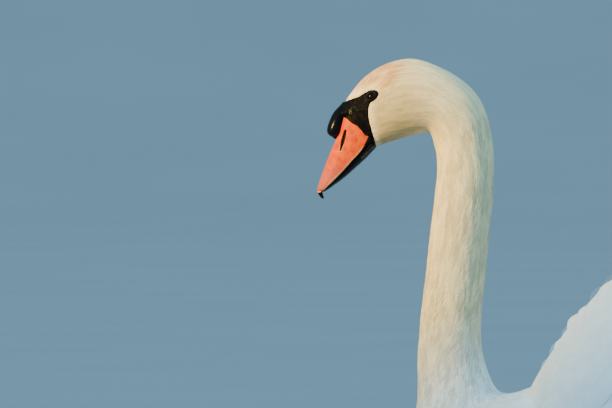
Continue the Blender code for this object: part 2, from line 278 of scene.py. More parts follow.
def read_rows(rows, place):
    """Rows of a table at fractional places, on Catmull-Rom curves through them."""
    rows = np.asarray(rows, float)
    place = np.clip(np.asarray(place, float), 0, len(rows) - 1)
    start = np.minimum(place.astype(int), len(rows) - 2)
    t = (place - start)[..., None]
    a, b, c, d = (rows[np.clip(start + k, 0, len(rows) - 1)] for k in (-1, 0, 1, 2))
    return 0.5 * (2 * b + (c - a) * t + (2 * a - 5 * b + 4 * c - d) * t**2 + (3 * b - a - 3 * c + d) * t**3)


def noise(points, scale, seed):
    """Smooth noise from -1 to 1 at points, with features about one scale across."""
    cells = 32
    table = np.random.default_rng(seed).uniform(-1, 1, (cells, cells, cells))
    place = np.asarray(points, float) / scale
    low = np.floor(place).astype(int)
    x, y, z = np.moveaxis(smooth(0, 1, place - low), -1, 0)
    total = 0
    for i in (0, 1):
        for j in (0, 1):
            for k in (0, 1):
                weight = (x if i else 1 - x) * (y if j else 1 - y) * (z if k else 1 - z)
                corner = (low + (i, j, k)) % cells
                total = total + weight * table[corner[..., 0], corner[..., 1], corner[..., 2]]
    return total


def closed_curve(outline, steps=8):
    """A smooth closed curve through an outline's points."""
    ends = [outline[-1], *outline, outline[0], outline[1]]
    place = 1 + np.arange(len(outline) * steps) / steps
    return read_rows(ends, place)


def distance_to(points, start, end):
    """Distances from points to a straight line between two ends."""
    start, end = np.asarray(start, float), np.asarray(end, float)
    line = end - start
    share = np.clip(((points - start) @ line) / (line @ line), 0, 1)
    return np.linalg.norm(points - start - share[..., None] * line, axis=-1)


def spindle_distance(points, start, end):
    """Distances to a line, stretched towards its ends, so that their level lines are spindles."""
    start, end = np.asarray(start, float), np.asarray(end, float)
    line = end - start
    share = ((points - start) @ line) / (line @ line)
    thin = 1 + 1.1 * np.clip(np.abs(share - 0.42) / 0.58, 0, 1) ** 2
    return distance_to(points, start, end) * thin


def depth_inside(points, curve):
    """How far points lie inside a closed flat curve; outside it is below 0."""
    nearest = np.full(points.shape[:-1], np.inf)
    inside = np.zeros(points.shape[:-1], bool)
    for start, end in zip(curve, np.roll(curve, -1, axis=0)):
        nearest = np.minimum(nearest, distance_to(points, start, end))
        crosses = (start[1] > points[..., 1]) != (end[1] > points[..., 1])
        if start[1] != end[1]:
            cut = start[0] + (points[..., 1] - start[1]) / (end[1] - start[1]) * (end[0] - start[0])
            inside ^= crosses & (points[..., 0] < cut)
    return np.where(inside, nearest, -nearest)


def side_view(points):
    """x and z of points, in millimetres."""
    return points[..., [0, 2]] / MM


# ---------------------------------------------------------------- surfaces


def loop_points(back, front, half_width, section, turn):
    """Points at shares of a turn round flat loops: 0 is at the back, a quarter on the right side."""
    widest, below, above = section
    cos, sin = np.cos(2 * np.pi * turn), np.sin(2 * np.pi * turn)
    reach = np.where(cos > 0, 1 - widest, widest)
    share = widest + reach * curved(cos, np.where(cos > 0, above, below))
    x = front[0] + (back[0] - front[0]) * share
    z = front[1] + (back[1] - front[1]) * share
    y = half_width * curved(sin, np.where(cos > 0, above, below))
    return np.stack(np.broadcast_arrays(x, y, z), axis=-1) * MM


def body_points(place, turn):
    back_x, back_z, front_x, front_z, half_width, widest, below = np.moveaxis(
        read_rows(BODY_STATIONS, place), -1, 0
    )
    points = loop_points((back_x, back_z), (front_x, front_z), half_width, (widest, below, 2.0), turn)
    points[..., 2] = np.maximum(points[..., 2], 0)
    return points


def wing_points(along, up, sign):
    """Points of the outer face: along runs from shoulder to tips, up from the lower edge to the top."""
    x, low_y, low_z, top_y, top_z, swell = np.moveaxis(
        read_rows(WING_STATIONS, along * (len(WING_STATIONS) - 1)), -1, 0
    )
    y = low_y + (top_y - low_y) * up**WING_LEAN + swell * np.sin(np.pi * np.minimum(up, 1))
    z = low_z + (top_z - low_z) * up
    return np.stack(np.broadcast_arrays(x, sign * y, z), axis=-1) * MM


def wing_thickness(along, up):
    """Thickest low in the wing's middle, where the arm and hand are, and thin all round the edge."""
    along, up = np.clip(along, 0, 1), np.clip(up, 0, 1)
    middle = np.maximum(np.sin(np.pi * up**0.7) * np.sin(np.pi * along**0.8), 0)
    return WING_EDGE_THICK + (WING_THICK - WING_EDGE_THICK) * middle**0.6


def evened(loops, rows):
    """Closed loops of points, whose last point repeats the first, resampled to an even spacing round each."""
    steps = np.linalg.norm(np.diff(loops, axis=1), axis=2)
    run = np.concatenate([np.zeros((len(loops), 1)), np.cumsum(steps, axis=1)], axis=1)
    even = np.linspace(0, 1, rows)
    points = [[np.interp(even, done / done[-1], axis) for axis in loop.T] for done, loop in zip(run, loops)]
    return np.array(points).transpose(0, 2, 1)


class Sheet:
    """A smooth surface through a grid of points. along and across run from 0 to 1; across may go round."""

    def __init__(self, points, facing, wraps=False):
        columns, rows = points.shape[:2]
        self.wraps = wraps
        padded = np.concatenate([points[:, -3:-1], points, points[:, 1:3]], axis=1) if wraps else points
        along = np.gradient(points, axis=0) * (columns - 1)
        across = np.gradient(padded, axis=1) * (rows - 1)
        across = across[:, 2:-2] if wraps else across
        out = unit(np.cross(along, across))
        if wraps:
            facing = np.sign((out * (points - points.mean(axis=1, keepdims=True))).sum())
        out = out * facing
        self.grid = np.concatenate([points, out, along, across], axis=2)

    def read(self, along, across):
        """Positions, outward normals, and the tangents along and across, at places on the sheet."""
        columns, rows = self.grid.shape[:2]
        along, across = np.broadcast_arrays(along, across)
        if self.wraps:
            across = across % 1.0
        i = np.clip((along * (columns - 1)).astype(int), 0, columns - 2)
        j = np.clip((across * (rows - 1)).astype(int), 0, rows - 2)
        s = (along * (columns - 1) - i)[..., None]
        t = (across * (rows - 1) - j)[..., None]
        grid = self.grid
        mixed = (grid[i, j] * (1 - s) + grid[i + 1, j] * s) * (1 - t)
        mixed = mixed + (grid[i, j + 1] * (1 - s) + grid[i + 1, j + 1] * s) * t
        points, out, along_it, across_it = np.split(mixed, 4, axis=-1)
        return points, unit(out), along_it, across_it


class Body(Sheet):
    """The bird's outer shape without its wings: along from the bill's base to the tail, across round it."""

    def __init__(self, columns=520, rows=320):
        places = np.linspace(0, len(BODY_STATIONS) - 1, 4 * columns)
        turns = np.linspace(0, 1, 8 * 90 + 1)
        middles = body_points(places[:, None], turns[None, :-1]).mean(axis=1)
        run = np.concatenate([[0], np.cumsum(np.linalg.norm(np.diff(middles, axis=0), axis=1))])
        self.length = run[-1]
        self.shares = run / run[-1]
        self.places = places
        loops = body_points(self.place(np.linspace(0, 1, columns))[:, None], turns[None, :])
        super().__init__(evened(loops, rows), 1, wraps=True)

    def place(self, along):
        """The fractional body station at a share of the length."""
        return np.interp(along, self.shares, self.places)

    def along(self, place):
        return np.interp(place, self.places, self.shares)


def wing_sheets(sign, columns=240, rows=160):
    """The outer and the inner face of a wing."""
    along = np.linspace(0, 1, columns)[:, None]
    up = np.linspace(0, 1, rows)[None, :]
    outer = Sheet(wing_points(along, up, sign), -sign)
    points, out, _, _ = outer.read(*np.broadcast_arrays(along, up))
    inner = Sheet(points - out * wing_thickness(along, up)[..., None], sign)
    return outer, inner


def coat_size(place):
    """Feather length, width and depth at body stations, in metres."""
    table = np.array(COAT_SIZES)
    return np.stack([np.interp(place, table[:, 0], column) for column in table.T[1:]], axis=-1) * MM


def body_girths():
    """Body stations and the way round the body at each."""
    places = np.linspace(0, len(BODY_STATIONS) - 1, 200)
    loops, _, _, _ = BODY.read(BODY.along(places)[:, None], np.linspace(0, 1, 121)[None, :])
    return places, np.linalg.norm(np.diff(loops, axis=1), axis=2).sum(axis=1)


BODY = Body()
GIRTHS = body_girths()
WINGS = {side: wing_sheets(sign) for side, sign in SIDES}


# ---------------------------------------------------------------- meshes


def grid_faces(columns, rows, first=0, turned=False):
    """Quads of a grid of points stored column by column."""
    i, j = np.meshgrid(np.arange(columns - 1), np.arange(rows - 1), indexing="ij")
    corner = first + i * rows + j
    quads = np.stack([corner, corner + rows, corner + rows + 1, corner + 1], axis=-1).reshape(-1, 4)
    return quads[:, ::-1] if turned else quads


def new_mesh_object(name, points, faces):
    mesh = bpy.data.meshes.new(name)
    mesh.from_pydata(np.asarray(points, float).reshape(-1, 3).tolist(), [], [list(face) for face in faces])
    mesh.shade_smooth()
    made = bpy.data.objects.new(name, mesh)
    bpy.context.scene.collection.objects.link(made)
    return made


def wrapped_quads(columns, rows, bands, turned=False):
    """Quads between closed loops of points; bands is how many of the gaps between loops are filled."""
    i, j = np.meshgrid(np.arange(bands), np.arange(rows), indexing="ij")
    ahead, beside = (i + 1) % columns, (j + 1) % rows
    quads = np.stack([i * rows + j, i * rows + beside, ahead * rows + beside, ahead * rows + j], axis=-1)
    return quads.reshape(-1, 4)[:, [0, 3, 2, 1] if turned else slice(None)]


def slab_faces(columns, rows):
    """Quads of a closed body between two equal grids of points, the second stored after the first."""
    size = columns * rows
    rim = [i * rows for i in range(columns)]
    rim += [(columns - 1) * rows + j for j in range(1, rows)]
    rim += [i * rows + rows - 1 for i in range(columns - 2, -1, -1)]
    rim += range(rows - 2, 0, -1)
    wall = [(other, one, one + size, other + size) for one, other in zip(rim, rim[1:] + rim[:1])]
    return np.concatenate([grid_faces(columns, rows), grid_faces(columns, rows, size, turned=True), wall])


def closed_body(name, points, faces):
    made = new_mesh_object(name, points, faces)
    edit(made, face_outwards)
    return made


def tube(name, points):
    """A closed body through loops of points; the first and last loop are capped."""
    columns, rows = points.shape[:2]
    caps = [list(reversed(range(rows))), [(columns - 1) * rows + j for j in range(rows)]]
    return closed_body(name, points, wrapped_quads(columns, rows, columns - 1).tolist() + caps)


def ring_body(name, points):
    """A closed ring: the grid's loops go round both ways."""
    columns, rows = points.shape[:2]
    return closed_body(name, points, wrapped_quads(columns, rows, columns).tolist())


def slab(name, upper, lower):
    """A closed body between two grids of points that share their rims' place."""
    points = np.concatenate([upper.reshape(-1, 3), lower.reshape(-1, 3)])
    return closed_body(name, points, slab_faces(*upper.shape[:2]).tolist())


def edit(thing, change):
    """Open the object's mesh, run change on it and put it back."""
    bm = bmesh.new()
    bm.from_mesh(thing.data)
    change(bm)
    bm.to_mesh(thing.data)
    bm.free()


def face_outwards(bm):
    bmesh.ops.recalc_face_normals(bm, faces=bm.faces)


def read_vertices(thing, what="co"):
    """Positions or normals of a mesh's points."""
    values = np.empty(len(thing.data.vertices) * 3, np.float32)
    thing.data.vertices.foreach_get(what, values)
    return values.reshape(-1, 3).astype(float)


def write_points(thing, points):
    thing.data.vertices.foreach_set("co", np.asarray(points, np.float32).ravel())
    thing.data.update()


def modify(thing, kind, **settings):
    """A modifier with its settings."""
    step = thing.modifiers.new(kind.lower(), kind)
    for name, value in settings.items():
        setattr(step, name, value)
    return step


def store(thing, name, values, kind="FLOAT"):
    """Values for each point of a mesh, under a name that a material or a tree reads."""
    values = np.asarray(values, np.float32)
    field = "vector" if kind == "FLOAT_VECTOR" else "value"
    thing.data.attributes.new(name, kind, "POINT").data.foreach_set(field, values.ravel())


def applied(thing):
    """A plain mesh with the object's modifiers in it. The old mesh and its modifiers go."""
    graph = bpy.context.evaluated_depsgraph_get()
    mesh = bpy.data.meshes.new_from_object(thing.evaluated_get(graph))
    mesh.name = thing.name
    thing.modifiers.clear()
    old, thing.data = thing.data, mesh
    bpy.data.meshes.remove(old)
    return thing


def remove(*things):
    for thing in things:
        mesh = thing.data
        bpy.data.objects.remove(thing)
        bpy.data.meshes.remove(mesh)


def finish(piece, finish_material, slot, *nodes):
    """The piece's material and the CAD nodes it stands for, which it hides; slot is not used."""
    if not piece.data.materials:
        piece.data.materials.append(finish_material)
    piece.data.materials[0] = finish_material
    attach(piece, "root")
    if nodes:
        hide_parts(*nodes)
    return piece


# ---------------------------------------------------------------- nodes


def find(sockets, key):
    """A node's socket by number or name. Where several types share a name, the one in use."""
    if isinstance(key, int):
        return sockets[key]
    named = [socket for socket in sockets if socket.name == key]
    return next((socket for socket in named if socket.enabled), named[0])


def result(node, key=None):
    if key is not None:
        return find(node.outputs, key)
    return next(socket for socket in node.outputs if socket.enabled)


def feed(tree, node, inputs):
    """Each input is linked to a node or socket, or set to a value."""
    for key, value in inputs.items():
        socket = find(node.inputs, key)
        value = result(value) if isinstance(value, bpy.types.Node) else value
        if isinstance(value, bpy.types.NodeSocket):
            tree.links.new(value, socket)
        else:
            socket.default_value = value
    return node


def add(tree, kind, inputs=None, **settings):
    """A node with its settings and its inputs."""
    node = tree.nodes.new(kind)
    for name, value in settings.items():
        setattr(node, name, value)
    return feed(tree, node, inputs or {})


def maths(tree, operation, one, other=0.0, clamp=False):
    return add(tree, "ShaderNodeMath", {0: one, 1: other}, operation=operation, use_clamp=clamp)


def plus(tree, one, other, clamp=False):
    return maths(tree, "ADD", one, other, clamp)


def minus(tree, one, other):
    return maths(tree, "SUBTRACT", one, other)


def times(tree, one, *others):
    for other in others:
        one = maths(tree, "MULTIPLY", one, other)
    return one


def eased(tree, value, low, high, to_low=0.0, to_high=1.0):
    """A smooth step of value from low to high."""
    inputs = {"Value": value, "From Min": low, "From Max": high, "To Min": to_low, "To Max": to_high}
    return add(tree, "ShaderNodeMapRange", inputs, interpolation_type="SMOOTHSTEP")


def mixed(tree, factor, one, other, blend="MIX"):
    inputs = {0: factor, 6: one, 7: other}
    node = add(tree, "ShaderNodeMix", inputs, data_type="RGBA", blend_type=blend)
    return node.outputs[2]


def shaded(tree, colour, shade):
    """A colour darkened evenly by a shade from 0 to 1."""
    grey = add(tree, "ShaderNodeCombineColor", {0: shade, 1: shade, 2: shade})
    return mixed(tree, 1.0, colour, grey, "MULTIPLY")


def object_place(tree):
    return add(tree, "ShaderNodeTexCoord").outputs["Object"]


def attribute(tree, name):
    return add(tree, "ShaderNodeAttribute", attribute_name=name).outputs["Fac"]


def cloud(tree, place, scale, detail):
    return add(tree, "ShaderNodeTexNoise", {"Vector": place, "Scale": scale, "Detail": detail})


def new_tree(name, kind, inputs, outputs):
    """An empty node group with its named inputs (name, type, value) and outputs (name, type)."""
    tree = bpy.data.node_groups.new(name, kind)
    for label, socket_type, value in inputs:
        socket = tree.interface.new_socket(label, in_out="INPUT", socket_type=socket_type)
        if value is not None:
            socket.default_value = value
    for label, socket_type in outputs:
        tree.interface.new_socket(label, in_out="OUTPUT", socket_type=socket_type)
    return tree, tree.nodes.new("NodeGroupInput"), tree.nodes.new("NodeGroupOutput")


def float_outputs(*names):
    return [(name, "NodeSocketFloat") for name in names]


def place_group(tree, group, inputs=None):
    return add(tree, "ShaderNodeGroup", inputs, node_tree=group)


def shared(maker):
    """The node group that maker builds, built once."""
    kept = {}

    def get():
        if "made" not in kept:
            kept["made"] = maker()
        return kept["made"]

    return get


@shared
def round_patch_group():
    """A soft round patch about a centre, in the object's own coordinates."""
    inputs = (
        ("Centre", "NodeSocketVector", None),
        ("Inner", "NodeSocketFloat", 0.01),
        ("Outer", "NodeSocketFloat", 0.02),
    )
    tree, given, out = new_tree("Round patch", "ShaderNodeTree", inputs, (("Mask", "NodeSocketFloat"),))
    ends = {0: object_place(tree), 1: given.outputs["Centre"]}
    reach = add(tree, "ShaderNodeVectorMath", ends, operation="DISTANCE").outputs["Value"]
    mask = eased(tree, reach, given.outputs["Inner"], given.outputs["Outer"], 1.0, 0.0)
    feed(tree, out, {"Mask": mask})
    return tree


@shared
def markings_group():
    """The swan's colours over its whole body: white, creamy on the neck and stained warm on the head."""
    inputs = [(name, "NodeSocketColor", (*colour, 1)) for name, colour in MARKING_COLOURS]
    tree, given, out = new_tree("Swan markings", "ShaderNodeTree", inputs, (("Colour", "NodeSocketColor"),))
    place = object_place(tree)
    x, y, z = add(tree, "ShaderNodeSeparateXYZ", {0: place}).outputs
    neck = times(tree, eased(tree, x, -0.17, -0.23), eased(tree, z, 0.20, 0.34))
    colour = mixed(tree, neck, given.outputs["White"], given.outputs["Cream"])
    for name, centre, inner, outer, strength in MARKING_SPOTS:
        patch = place_group(tree, round_patch_group(), {"Centre": centre, "Inner": inner, "Outer": outer})
        colour = mixed(tree, times(tree, patch, strength), colour, given.outputs[name])
    ahead, above = minus(tree, x, HEAD_MIDDLE[0]), minus(tree, z, HEAD_MIDDLE[1])
    squares = plus(tree, maths(tree, "POWER", ahead, 2.0), maths(tree, "POWER", above, 2.0))
    away = maths(tree, "DIVIDE", maths(tree, "SQRT", squares), STRAND_WIDTH)
    aside = maths(tree, "DIVIDE", y, STRAND_DEPTH)
    turn = times(tree, maths(tree, "ARCTAN2", ahead, above), STRANDS_PER_TURN)
    round_head = add(tree, "ShaderNodeCombineXYZ", {0: away, 1: aside, 2: turn})
    strands = cloud(tree, round_head, 1.0, 2.0)
    ragged = times(tree, minus(tree, strands, 0.5), RAGGED_EDGE)
    lines = []
    for normal, distance in (BROW_PLANE, REAR_PLANE):
        product = add(tree, "ShaderNodeVectorMath", {0: place, 1: normal}, operation="DOT_PRODUCT")
        lines.append(plus(tree, minus(tree, result(product, "Value"), distance), ragged))
    brow = times(tree, eased(tree, lines[0], 0.012, 0.0), eased(tree, z, 0.550, 0.560))
    brow = times(tree, brow, eased(tree, x, -0.345, -0.355))
    rear = times(tree, eased(tree, lines[1], 0.010, -0.001), eased(tree, z, 0.566, 0.554))
    pale = times(tree, maths(tree, "MAXIMUM", brow, rear), eased(tree, z, 0.470, 0.495))
    colour = mixed(tree, times(tree, pale, 0.85), colour, given.outputs["Pale"])
    on_crown = place_group(tree, round_patch_group(), CROWN_STREAKS)
    streaks = times(tree, eased(tree, strands, 0.42, 0.62), times(tree, on_crown, 0.42))
    colour = mixed(tree, streaks, colour, given.outputs["Pale"])
    blotch = cloud(tree, place, 28.0, 3.0)
    feed(tree, out, {"Colour": shaded(tree, colour, eased(tree, blotch, 0.3, 0.7, 0.93, 1.0))})
    return tree


@shared
def barbs_group():
    """Fine barbs slanting from a shaft. Reads a feather's own coordinates: along, across, tone."""
    inputs = (("Barb width", "NodeSocketFloat", 0.0012), ("Slant", "NodeSocketFloat", 1.2))
    tree, given, out = new_tree("Barbs", "ShaderNodeTree", inputs, float_outputs("Height", "Tone"))
    vane = add(tree, "ShaderNodeAttribute", attribute_name="vane")
    along, across, tone = add(tree, "ShaderNodeSeparateXYZ", {0: vane.outputs["Vector"]}).outputs
    away = maths(tree, "ABSOLUTE", across)
    lead = minus(tree, along, times(tree, away, given.outputs["Slant"]))
    strand = maths(tree, "DIVIDE", lead, given.outputs["Barb width"])
    outward = maths(tree, "DIVIDE", away, times(tree, given.outputs["Barb width"], 9.0))
    place = add(tree, "ShaderNodeCombineXYZ", {0: strand, 1: outward, 2: times(tree, tone, 80.0)})
    feed(tree, out, {"Height": cloud(tree, place, 1.0, 1.5), "Tone": tone})
    return tree


@shared
def pebbles_group():
    """Bare pebbled skin: small rounded grains, larger wrinkles, and a mask of the hollows, which black skin
    fills with a dull bloom and feathered skin with painted shade.
    """
    inputs = (("Grain", "NodeSocketFloat", 0.0012), ("Wrinkle", "NodeSocketFloat", 0.006))
    tree, given, out = new_tree("Pebbled skin", "ShaderNodeTree", inputs, float_outputs("Height", "Hollow"))
    place = object_place(tree)
    fine, coarse = (maths(tree, "DIVIDE", 1.0, given.outputs[name]) for name in ("Grain", "Wrinkle"))
    grains = add(tree, "ShaderNodeTexVoronoi", {"Vector": place, "Scale": fine}, feature="SMOOTH_F1")
    hollow = eased(tree, result(grains, "Distance"), 0.25, 0.75)
    height = minus(tree, cloud(tree, place, coarse, 3.0), times(tree, hollow, 0.6))
    feed(tree, out, {"Height": height, "Hollow": hollow})
    return tree


def connect(tree, shader, **inputs):
    """Feed a shader's inputs, whose names are written with underscores."""
    feed(tree, shader, {name.replace("_", " "): value for name, value in inputs.items()})


def new_material(name, **inputs):
    """A material, its tree and its shader with some of its inputs set."""
    made = bpy.data.materials.new(name)
    made.use_nodes = True
    tree = made.node_tree
    shader = tree.nodes["Principled BSDF"]
    connect(tree, shader, **inputs)
    return made, tree, shader


def bump(tree, shader, height, strength, distance):
    inputs = {"Height": height, "Strength": strength, "Distance": distance}
    connect(tree, shader, Normal=add(tree, "ShaderNodeBump", inputs))


def swan_colour(tree, settings):
    """The swan's markings in the settings' colours."""
    inputs = {"White": (*settings.white, 1), "Cream": (*settings.cream, 1)}
    return place_group(tree, markings_group(), inputs).outputs["Colour"]


def plumage(name, barb_width, relief, contrast, shadow, settings):
    """White feather: the swan's markings, a tone for each feather, painted shadow in the furrows, and fine
    barbs.
    """
    made, tree, shader = new_material(
        name, Roughness=0.8, Specular_IOR_Level=0.25, Sheen_Weight=settings.sheen, Sheen_Roughness=0.6
    )
    barbs = place_group(tree, barbs_group(), {"Barb width": barb_width})
    tone = eased(tree, barbs.outputs["Tone"], 0.0, 1.0, 1.0 - contrast, 1.0)
    streak = eased(tree, barbs.outputs["Height"], 0.3, 0.7, 1.0 - contrast, 1.0)
    # painted shade: the colour darkens in the valleys of the coat's waves and lightens a little on their
    # crests
    ridge = eased(tree, attribute(tree, "furrow"), -0.35, 0.3, 1.0 - shadow, 1.0 + 0.3 * shadow)
    shade = times(tree, tone, streak, ridge)
    connect(tree, shader, Base_Color=shaded(tree, swan_colour(tree, settings), shade))
    bump(tree, shader, barbs.outputs["Height"], 0.5, relief)
    return made


def skin_material(settings):
    """Pale feathered skin under the coat, with the same markings as the coat."""
    made, tree, shader = new_material("feathered_skin", Roughness=0.85, Specular_IOR_Level=0.2)
    pebbles = place_group(tree, pebbles_group(), {"Grain": 0.003, "Wrinkle": 0.02})
    # painted shade: the skin's colour darkens in the pebbles' hollows
    shade = eased(tree, pebbles.outputs["Hollow"], 0, 1, 0.96, 0.88)
    connect(tree, shader, Base_Color=shaded(tree, swan_colour(tree, settings), shade))
    bump(tree, shader, pebbles.outputs["Height"], 0.4, 0.0006)
    return made


def black_skin_material(name, colour, grain, roughness, relief):
    made, tree, shader = new_material(name, Specular_IOR_Level=0.08)
    pebbles = place_group(tree, pebbles_group(), {"Grain": grain, "Wrinkle": grain * 5})
    dusty = tuple(min(1, part * 1.8 + 0.003) for part in colour)
    dust = times(tree, pebbles.outputs["Hollow"], 0.5)
    dull = eased(tree, pebbles.outputs["Height"], 0.0, 0.8, roughness + 0.15, roughness)
    connect(tree, shader, Base_Color=mixed(tree, dust, (*colour, 1), (*dusty, 1)), Roughness=dull)
    bump(tree, shader, pebbles.outputs["Height"], 0.6, relief)
    return made


def face_material(settings):
    """Black skin: grainy and half dull between eye and bill, smooth and glossy on the knob."""
    made, tree, shader = new_material("bare_skin", Specular_IOR_Level=0.012, Coat_Roughness=0.16)
    pebbles = place_group(tree, pebbles_group(), {"Grain": settings.grain, "Wrinkle": settings.grain * 5})
    knob = attribute(tree, "on_knob")
    place = object_place(tree)
    warm = cloud(tree, place, 260.0, 4.0)
    brown = times(tree, eased(tree, warm, 0.48, 0.66), minus(tree, 1.0, knob))
    colour = mixed(tree, brown, (*settings.colour, 1), (*settings.brown, 1))
    dull = eased(tree, pebbles.outputs["Height"], 0.0, 0.8, 0.62, 0.36)
    gloss = minus(tree, dull, times(tree, knob, 0.2))
    wet = cloud(tree, place, 900.0, 2.0)
    z = add(tree, "ShaderNodeSeparateXYZ", {0: place}).outputs[2]
    low = eased(tree, z, 0.536, 0.522, 0.015, 0.2)
    near_joint = plus(tree, times(tree, place_group(tree, round_patch_group(), KNOB_JOINT), 0.1), 0.02)
    speckle = times(tree, eased(tree, wet, 0.56, 0.7), near_joint)
    film = plus(tree, times(tree, knob, low), speckle, clamp=True)
    connect(tree, shader, Base_Color=colour, Roughness=gloss, Coat_Weight=film)
    height = times(tree, pebbles.outputs["Height"], minus(tree, 1.0, times(tree, knob, 0.85)))
    bump(tree, shader, height, 0.6, 0.0004)
    return made


def bill_material(name, settings):
    """Orange horn with a pinkish tip, edged in black where the orange field ends, with a painted highlight
    along the orange's lower edge.
    """
    made, tree, shader = new_material(name, Specular_IOR_Level=0.015, Coat_Roughness=0.35)
    place = object_place(tree)
    height = add(tree, "ShaderNodeSeparateXYZ", {0: place}).outputs[2]
    field = attribute(tree, "orange_depth")
    ragged = cloud(tree, place, 900.0, 2.0)
    edge = plus(tree, field, times(tree, minus(tree, ragged, 0.5), 0.0012))
    mask = eased(tree, edge, -0.0002, 0.0003)
    patches = cloud(tree, place, 160.0, 4.0)
    rich = mixed(tree, eased(tree, patches, 0.3, 0.7), (*settings.orange, 1), (*settings.amber, 1))
    tip = eased(tree, height, 0.497, 0.462)
    orange = mixed(tree, times(tree, tip, 0.75), rich, (*settings.pink, 1))
    veins = cloud(tree, place, 420.0, 5.0)
    orange = shaded(tree, orange, eased(tree, veins, 0.35, 0.7, 0.84, 1.0))
    # painted highlight: a pale line along the orange field's lower edge, where the lip catches the light
    lip = times(tree, eased(tree, edge, 0.0017, 0.0006), eased(tree, height, 0.508, 0.498))
    orange = mixed(tree, times(tree, lip, 0.7), orange, (*settings.lip_highlight_colour, 1))
    connect(
        tree,
        shader,
        Base_Color=mixed(tree, mask, (*settings.black, 1), orange),
        Roughness=eased(tree, patches, 0.3, 0.7, 0.36, 0.5),
        Coat_Weight=times(tree, mask, 0.04),
    )
    bump(tree, shader, plus(tree, veins, times(tree, mask, 0.6)), 0.35, 0.0004)
    return made


def lower_bill_material(settings):
    """Black horn with a reddish brown line along the gape."""
    made, tree, shader = new_material("lower_bill_horn", Specular_IOR_Level=0.08)
    line = attribute(tree, "gape")
    place = object_place(tree)
    wear = cloud(tree, place, 500.0, 4.0)
    mask = times(tree, eased(tree, line, 0.0006, 0.0002), eased(tree, wear, 0.3, 0.5))
    connect(
        tree,
        shader,
        Base_Color=mixed(tree, mask, (*settings.black, 1), (*settings.gape, 1)),
        Roughness=eased(tree, wear, 0.3, 0.7, 0.3, 0.5),
    )
    bump(tree, shader, wear, 0.3, 0.0004)
    return made


def eye_material(settings):
    """A dark brown iris round a black pupil, under a clear wet surface."""
    made, tree, shader = new_material(
        "eye", Roughness=0.4, Specular_IOR_Level=0.0, Coat_Weight=0.05, Coat_Roughness=0.02
    )
    angle = attribute(tree, "from_axis")
    fibres = cloud(tree, object_place(tree), 2500.0, 2.0)
    brown = shaded(tree, (*settings.iris, 1), eased(tree, fibres, 0.3, 0.7, 0.5, 1.0))
    colour = mixed(tree, eased(tree, angle, 0.30, 0.36), PUPIL_COLOUR, brown)
    connect(tree, shader, Base_Color=mixed(tree, eased(tree, angle, 0.62, 0.85), colour, EYE_RIM_COLOUR))
    return made


def foot_material(settings):
    """Blackish scaled skin, dusty between the scales."""
    made, tree, shader = new_material("foot_skin", Specular_IOR_Level=0.4)
    place = object_place(tree)
    scales = add(tree, "ShaderNodeTexVoronoi", {"Vector": place, "Scale": 420.0}, feature="DISTANCE_TO_EDGE")
    crease = eased(tree, result(scales, "Distance"), 0.02, 0.12, 1.0, 0.0)
    creases = cloud(tree, place, 120.0, 4.0)
    dull = mixed(tree, eased(tree, creases, 0.35, 0.7), (*settings.grey, 1), (*settings.brown, 1))
    connect(
        tree,
        shader,
        Base_Color=mixed(tree, times(tree, crease, 0.5), dull, (*settings.dust, 1)),
        Roughness=eased(tree, creases, 0.3, 0.7, 0.45, 0.65),
    )
    bump(tree, shader, minus(tree, creases, crease), 0.5, 0.0006)
    return made


# ---------------------------------------------------------------- feathers by nodes


COAT_INPUTS = (
    ("Bed", "NodeSocketGeometry", None),
    ("Vane", "NodeSocketObject", None),
    ("Material", "NodeSocketMaterial", None),
    ("Spacing", "NodeSocketFloat", 0.003),
    ("Stray", "NodeSocketFloat", 0.1),
    ("Size change", "NodeSocketFloat", 0.15),
    ("Patch", "NodeSocketFloat", 0.003),
    ("Seed", "NodeSocketInt", 0),
)


